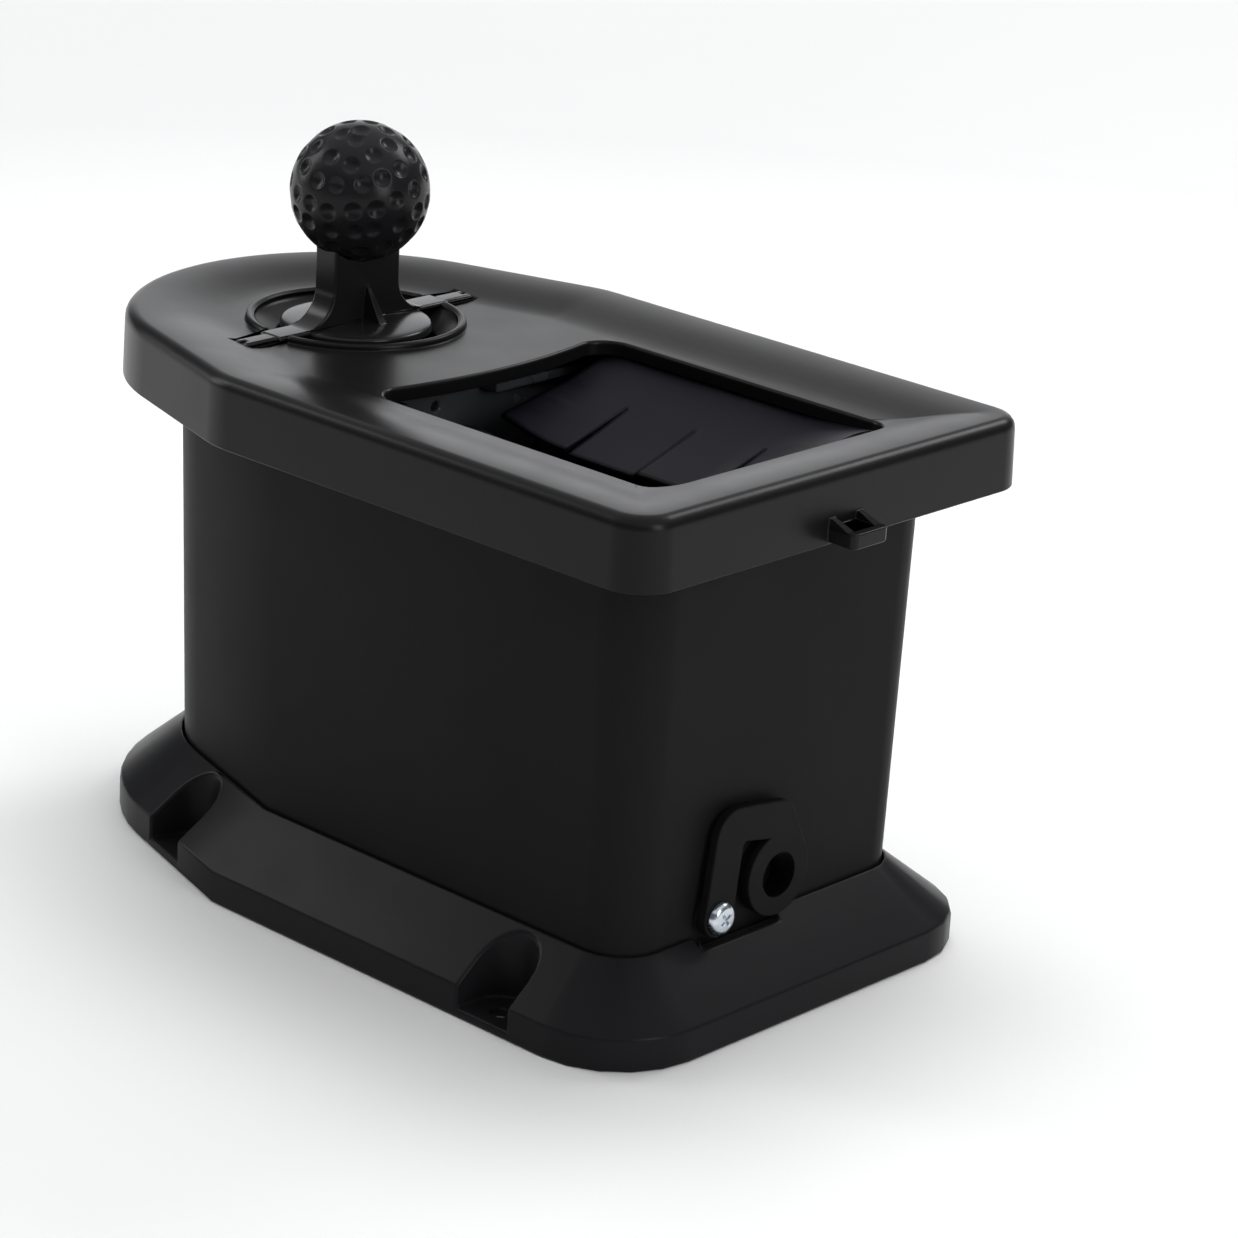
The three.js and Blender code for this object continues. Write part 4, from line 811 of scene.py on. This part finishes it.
# %% Neck and disc
wing_top, neck_half, neck_thick, flare, flare_steps = 162.5, 13.5, 9.2, 10.7, 12
neck_top, neck_round, neck_corner_steps = knob_z - 6, 0.9, 3
disc_radius, disc_top, disc_edge, dome_height, dome_steps = 23.2, 161.4, 0.5, 1.2, 8


def neck_rings(bm):
    """The neck from its flared foot up into the ball."""
    sizes = []
    for step in range(flare_steps + 1):
        tip = math.radians(90 * step / flare_steps)
        sizes.append((neck_half + flare * (1 - math.sin(tip)),
                      wing_top + flare * (1 - math.cos(tip))))
    sizes.append((neck_half, neck_top))
    return [round_block_ring(bm, about(plunger_x, neck_thick / 2), about(0, half), neck_round,
                             height, neck_corner_steps) for half, height in sizes]


handle = stack(neck_rings)
disc = [(0, disc_top - 3), (disc_radius - 0.6, disc_top - 3), (disc_radius, disc_top - 2.4),
        (disc_radius, disc_top - disc_edge), (disc_radius - disc_edge, disc_top)]
for step in range(1, dome_steps + 1):
    tip = math.radians(90 * step / dome_steps)
    disc.append(((disc_radius - disc_edge) * math.cos(tip), disc_top + dome_height * math.sin(tip)))
combine(handle, turned(disc, plunger_x, round_steps), "UNION")
print("neck and disc", len(handle.faces), "faces")

# %% Wings, rib and socket
wing_foot, wing_step, step_half, step_lower = 161.1, 35.4, 3, 0.3
fork_half, fork_start, fork_end = 0.9, 44.6, 53
rib_foot, rib_top_half, rib_height, rib_thick, rib_spread = 12.8, 4.6, 12.3, 1.6, 2
# Each wing narrows at a step, drops a little there, and is forked at its end
for half_wide, reach, top in ((neck_thick / 2, wing_step, wing_top),
                              (step_half, wing_reach, wing_top - step_lower)):
    wing = block(about(plunger_x, half_wide), (-reach, reach), (wing_foot, top))
    round_edges(wing, 1, lambda edge: all(v.co.z > 162 for v in edge.verts))
    combine(handle, wing, "UNION")
for fork in ((-fork_end, -fork_start), (fork_start, fork_end)):
    combine(handle, block(about(plunger_x, fork_half), fork, (160, 170)), "DIFFERENCE")

rib = prism([(plunger_x + out, -rib_thick / 2, disc_top + up)
             for out, up in ((-rib_foot, 0), (rib_foot, 0), (rib_top_half, rib_height),
                             (-rib_top_half, rib_height))], (0, rib_thick, 0))
for vert in rib.verts:
    vert.co.y *= 1 if vert.co.z > disc_top + 1 else rib_spread
round_edges(rib, 0.45, lambda edge: abs(edge.verts[0].co.z - edge.verts[1].co.z) > 5)
combine(handle, rib, "UNION")

# The socket under the disc takes the ball ring's stem
combine(handle, block(about(plunger_x, 5.6), about(0, 8.6), (150.4, disc_top - 1)), "UNION")
combine(handle, block(about(plunger_x, 2.3), about(0, 5.3), (below_all, 158.4)), "DIFFERENCE")
seat_ball = bmesh.new()
bmesh.ops.create_uvsphere(seat_ball, u_segments=64, v_segments=32, radius=knob_radius + 0.05,
                          matrix=Matrix.Translation((plunger_x, 0, knob_z)))
combine(handle, seat_ball, "DIFFERENCE")
finish("handle_moulding", handle, "plunger", handle_plastic, ["plunger_handle"],
       edge=0.35)

# %% [markdown]
# ## Drain plug, strap and screw
# Plug and strap are one flat rubber moulding: a leg rises from the screw, bends over and runs
# into a round head with a deep off-centre hole. One outline is drawn and thickened, and its edges
# are rounded. Then a plane parts it in two: the leg bends with the pull, the head stays stiff.

# %% Outline of plug and strap
stem_x, face_x = [(corner.x - lid_middle_x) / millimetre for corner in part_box("drain_plug")]
head_y, head_z, head_radius = -1.7, 38.8, 12.9
screw_y, screw_z, strap_half, strap_thick = -26.4, 32, 6.1, 3
head_start, over_x = math.radians(111), (1, 0, 0)
ribbon = bmesh.new()
first = start(ribbon, (face_x, screw_y - strap_half, screw_z))
pen = turn(ribbon, first, (face_x, screw_y, screw_z), 180, 16, over_x)
pen = walk(ribbon, pen, (face_x, -17.8, 51.8))
pen = turn(ribbon, pen, (face_x, -16.6, 51.6), -93, 5, over_x)
pen = walk(ribbon, pen, (face_x, head_y + head_radius * math.cos(head_start),
                         head_z + head_radius * math.sin(head_start)))
pen = turn(ribbon, pen, (face_x, head_y, head_z), 274, 54, over_x)
pen = walk(ribbon, pen, (face_x, 3.75, 57.65))
pen = turn(ribbon, pen, (face_x, -2.6, 54.7), 57, 6, over_x)
pen = walk(ribbon, pen, (face_x, -19.1, 64))
pen = turn(ribbon, pen, (face_x, -20.3, 55.1), 91, 10, over_x)
bmesh.ops.contextual_create(ribbon, geom=[pen, first])
thicken(ribbon, (-strap_thick, 0, 0))
round_edges(ribbon, 0.5, lambda edge: abs(edge.verts[0].co.x - edge.verts[1].co.x) < 1e-4)
parting_y, leg_start, leg_end = -15, 38.5, 52.3
leg = ribbon.copy()
keep_side(leg, (0, parting_y, 0), (0, 1, 0))
keep_side(ribbon, (0, parting_y, 0), (0, -1, 0))
print("ribbon", len(ribbon.faces), "faces, leg", len(leg.faces))

# %% Plug
across_x = Matrix.Rotation(math.radians(90), 4, "Y")
stem_radius, stem_z = 8.5, 35
# The head's thick back, then the stem that fills the tank's bore
for radius, y, z, low, high in ((head_radius - 0.3, head_y, head_z, face_x - 4.5, face_x - 1.5),
                                (stem_radius, 0, stem_z, stem_x, face_x - 1.2)):
    bar, middle = bmesh.new(), Matrix.Translation((0, 0, (low + high) / 2))
    bmesh.ops.create_cone(bar, cap_ends=True, segments=64, radius1=radius, radius2=radius,
                          depth=high - low, matrix=middle)
    bmesh.ops.transform(bar, matrix=Matrix.Translation((0, y, z)) @ across_x, verts=bar.verts)
    combine(ribbon, bar, "UNION")
# The blind hole leans from the middle of the head to the middle of the stem
hole, rings = bmesh.new(), []
for x, y, z, radius in ((face_x + 0.5, head_y, head_z, 6.8), (face_x - 4.6, -0.5, 36.2, 6.5),
                        (face_x - 10, 0, 35.2, 6.3)):
    before = set(hole.edges)
    bmesh.ops.create_circle(hole, segments=48, radius=radius,
                            matrix=Matrix.Translation((x, y, z)) @ across_x)
    rings.append([edge for edge in hole.edges if edge not in before])
combine(ribbon, loft(hole, rings), "DIFFERENCE")
round_edges(ribbon, 0.35, lambda edge: all(
    abs(v.co.x - face_x) < 1e-3 and math.hypot(v.co.y - head_y, v.co.z - head_z) < 7.5
    for v in edge.verts))
finish("drain_plug_rubber", ribbon, "drain_plug_body", plug_rubber, ["drain_plug"],
       edge=0)

# %% Strap
# Level cuts give the leg rows of points to bend at
leg_rows = 7
for step in range(leg_rows + 1):
    bmesh.ops.bisect_plane(leg, geom=leg.verts[:] + leg.edges[:] + leg.faces[:], dist=1e-4,
                           plane_co=(0, 0, leg_start + (leg_end - leg_start) * step / leg_rows),
                           plane_no=(0, 0, 1))
strap_piece = finish("drain_strap_rubber", leg, None, plug_rubber, ["drain_strap"],
                     edge=0)
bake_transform(strap_piece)

# %% Strap screw
shank, screw_head, slot_half, slot_reach = 1.6, 5, 0.4, 2
# Profile from the tip up: a pointed shank, a flat underside, a rounded head with a flat top
head = [(0, face_x - 14.4), (shank, face_x - 12.8), (shank, face_x + 0.1),
        (screw_head, face_x + 0.1)]
for degrees in (0, 20, 40, 60, 80):
    tip = math.radians(degrees)
    head.append((screw_head - 2.2 * (1 - math.cos(tip)), face_x + 0.4 + 2.1 * math.sin(tip)))
head += [(1.4, face_x + 2.6), (0, face_x + 2.6)]
screw = turned(head, 0, 48)
bmesh.ops.transform(screw, matrix=Matrix.Translation((0, screw_y, screw_z)) @ across_x,
                    verts=screw.verts)
for degrees in (36, 126):
    recess = block((face_x + 1.5, face_x + 6), about(0, slot_half), about(0, slot_reach))
    bmesh.ops.rotate(recess, cent=(0, 0, 0), verts=recess.verts,
                     matrix=Matrix.Rotation(math.radians(degrees), 3, "X"))
    bmesh.ops.translate(recess, vec=(0, screw_y, screw_z), verts=recess.verts)
    combine(screw, recess, "DIFFERENCE")
finish("strap_screw_zinc", screw, "washer_body", zinc, ["drain_strap_screw"], edge=0.15)

# %% [markdown]
# ## Splash flaps
# Two rubber sheets hang from the opening's long sides and meet near the middle. Slits cut each
# into fingers. A real sheet never lies flat: it sags between its clamps, its corners curl, and
# the far end stands up. The sheet is a grid that is slit, bent and given its thickness.

# %% Flaps
flap_near, flap_span, flap_long = -5, 110.8, 49.8
hinge_y, hinge_z, flap_slope = 52.0, 155.9, math.radians(19.5)
flap_thick, slit_long, slit_wide, fingers = 1.5, 29, 1.3, 4
sag_depth, far_lift, far_start, far_length = 0.7, 11, 76, 33
corner_lift, corner_length, corner_start = 4.5, 24, 0.35
finger_tilt = (0.5, -0.6, 0.4, -0.5)


def flap_height(x, along, curl):
    """How far the sheet stands off its flat plane."""
    out = along / flap_long
    sag = -sag_depth * math.sin(math.pi * out) * math.sin(math.pi * x / flap_span)
    far = max(0, (x - far_start) / far_length)
    lift = curl * far_lift * far ** 1.3 * (1 - math.exp(-out / 0.25))
    corner = curl * corner_lift * max(0, 1 - x / corner_length) ** 1.5 \
        * max(0, out - corner_start) / (1 - corner_start)
    finger = finger_tilt[min(fingers - 1, int(fingers * x / flap_span))]
    return sag + lift + corner + curl * finger * max(0, along - flap_long + slit_long) / slit_long


def flap(name, node, body, hand, curl):
    """One slit sheet; hand tells its side, curl how far it has warped."""
    bm = bmesh.new()
    bmesh.ops.create_grid(bm, x_segments=64, y_segments=32, size=0.5)
    for vert in bm.verts:
        vert.co = Vector(((vert.co.x + 0.5) * flap_span, (vert.co.y + 0.5) * flap_long, 0))
    slits = [flap_span * i / fingers for i in range(1, fingers)]
    cuts = [edge for edge in bm.edges
            if any(all(abs(v.co.x - slit) < 0.1 for v in edge.verts) for slit in slits)
            and min(v.co.y for v in edge.verts) > flap_long - slit_long - 0.5]
    bmesh.ops.split_edges(bm, edges=cuts)
    for vert in bm.verts:
        for slit in slits:
            if abs(vert.co.x - slit) < 0.1 and vert.co.y > flap_long - slit_long:
                side = sum(f.calc_center_median().x for f in vert.link_faces) / len(vert.link_faces)
                gap = slit_wide / 2 * (vert.co.y - flap_long + slit_long) / slit_long
                vert.co.x += math.copysign(gap, side - slit)
    for vert in bm.verts:
        x, along = vert.co.x, vert.co.y
        vert.co = (flap_near + x, hand * (hinge_y - along * math.cos(flap_slope)),
                   hinge_z - along * math.sin(flap_slope) + flap_height(x, along, curl))
    bmesh.ops.recalc_face_normals(bm, faces=bm.faces)
    sheet = finish(name, bm, body, flap_rubber, [node], edge=0, crisp=80)
    thick = sheet.modifiers.new("sheet", "SOLIDIFY")
    thick.thickness, thick.offset = flap_thick * millimetre, 0
    # The thickness gets painted shade, nearly black, so that the slits read as dark lines
    sheet.data.materials.append(slit_shade_rubber)
    thick.material_offset_rim = 1


flap("flap_rear_rubber", "splash_flap_rear", "flap_rear", 1, 1)
flap("flap_front_rubber", "splash_flap_front", "flap_front", -1, 0.5)

# %% [markdown]
# ## Bristles
# A brush is a board full of tufts, and a tuft is a pinch of nylon filaments that spread at their
# tips. One tuft of a few dozen faces is drawn, then copied over the field, each copy leaning a
# little its own way.

# %% Tufts
ring_count, ring_radius, root_radius, tip_radius, splay = 6, 0.75, 0.42, 0.3, 0.07
tuft_pitch, tuft_lean, field_margin = 4.6, 0.05, 1.5


def filament_tuft(length):
    """A ring of three-sided filaments about a middle one, roots at z = 0."""
    bm = bmesh.new()
    for i in range(ring_count + 1):
        around = math.tau * i / ring_count
        out, outer = (0, 0) if i == ring_count else (ring_radius, splay)
        lean = Matrix.Rotation(outer, 4, Vector((-math.sin(around), math.cos(around), 0)))
        place = Matrix.Translation((out * math.cos(around), out * math.sin(around), 0))
        bmesh.ops.create_cone(bm, cap_ends=True, segments=3, radius1=root_radius,
                              radius2=tip_radius, depth=length,
                              matrix=place @ lean @ Matrix.Translation((0, 0, length / 2)))
    return bm


def brush_field(name, node, direction):
    """Fill a CAD bristle block with tufts that point along a direction."""
    low, high = [corner / millimetre - Vector((lid_middle_x / millimetre, 0, 0))
                 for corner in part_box(node)]
    axis = max(range(3), key=lambda i: abs(direction[i]))
    across = [i for i in range(3) if i != axis]
    tuft = filament_tuft(high[axis] - low[axis] - 1)
    facing = Vector((0, 0, 1)).rotation_difference(Vector(direction)).to_matrix().to_4x4()
    room_for = [high[i] - low[i] - 2 * field_margin for i in range(3)]
    counts = [max(2, int(room_for[i] / tuft_pitch) + 1) for i in across]
    tuft_mesh = bpy.data.meshes.new("tuft")
    tuft.to_mesh(tuft_mesh)
    tuft.free()
    field = bmesh.new()
    for row in range(counts[0]):
        for column in range(counts[1]):
            place = Vector()
            place[axis] = low[axis] if direction[axis] > 0 else high[axis]
            for i, (step, many) in zip(across, ((row, counts[0]), (column, counts[1]))):
                place[i] = low[i] + field_margin + room_for[i] * step / (many - 1)
            lean = Matrix.Rotation(seeded.uniform(-tuft_lean, tuft_lean), 4, Vector((1, 0, 0))) \
                @ Matrix.Rotation(seeded.uniform(-tuft_lean, tuft_lean), 4, Vector((0, 1, 0)))
            already = len(field.verts)
            field.from_mesh(tuft_mesh)
            field.verts.ensure_lookup_table()
            bmesh.ops.transform(field, verts=field.verts[already:],
                                matrix=Matrix.Translation(place) @ facing @ lean)
    bpy.data.meshes.remove(tuft_mesh)
    # No tip may leave the block that the CAD gave the brush
    for vert in field.verts:
        vert.co = [min(max(c, l + 0.05), h - 0.05) for c, l, h in zip(vert.co, low, high)]
    return finish(name, field, "washer_body", nylon, [node], edge=0, crisp=80)


brush_field("ball_bristles_inner", "ball_brush_bristles_inner", (-1, 0, 0))
brush_field("ball_bristles_nose", "ball_brush_bristles_nose", (1, 0, 0))
brush_field("club_bristles_front", "club_brush_bristles_front", (0, 1, 0))
brush_field("club_bristles_rear", "club_brush_bristles_rear", (0, -1, 0))
brush_field("club_bristles_floor", "club_brush_bristles_floor", (0, 0, 1))

# %% [markdown]
# ## Carried-over CAD pieces
# What stays as it is, mostly fasteners and brush boards, still gets a real finish.

# %% Materials for the CAD nodes
by_word = (("screw", zinc), ("stud", zinc), ("gasket", gasket_rubber),
           ("brush_back", inner_plastic), ("clamp", inner_plastic))
for node_name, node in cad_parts.items():
    if node.hide_render:
        continue
    found = next(material for word, material in by_word if word in node_name)
    node.data.materials.clear()
    node.data.materials.append(found)
    print(node_name, "->", found.name)

# %% [markdown]
# ## Sizes
# The dressed washer must stay inside the box of its CAD; its box is printed here.

# %% Sizes and the end
low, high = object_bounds()
print("visual", [round(v, 4) for v in (*low, *high)])
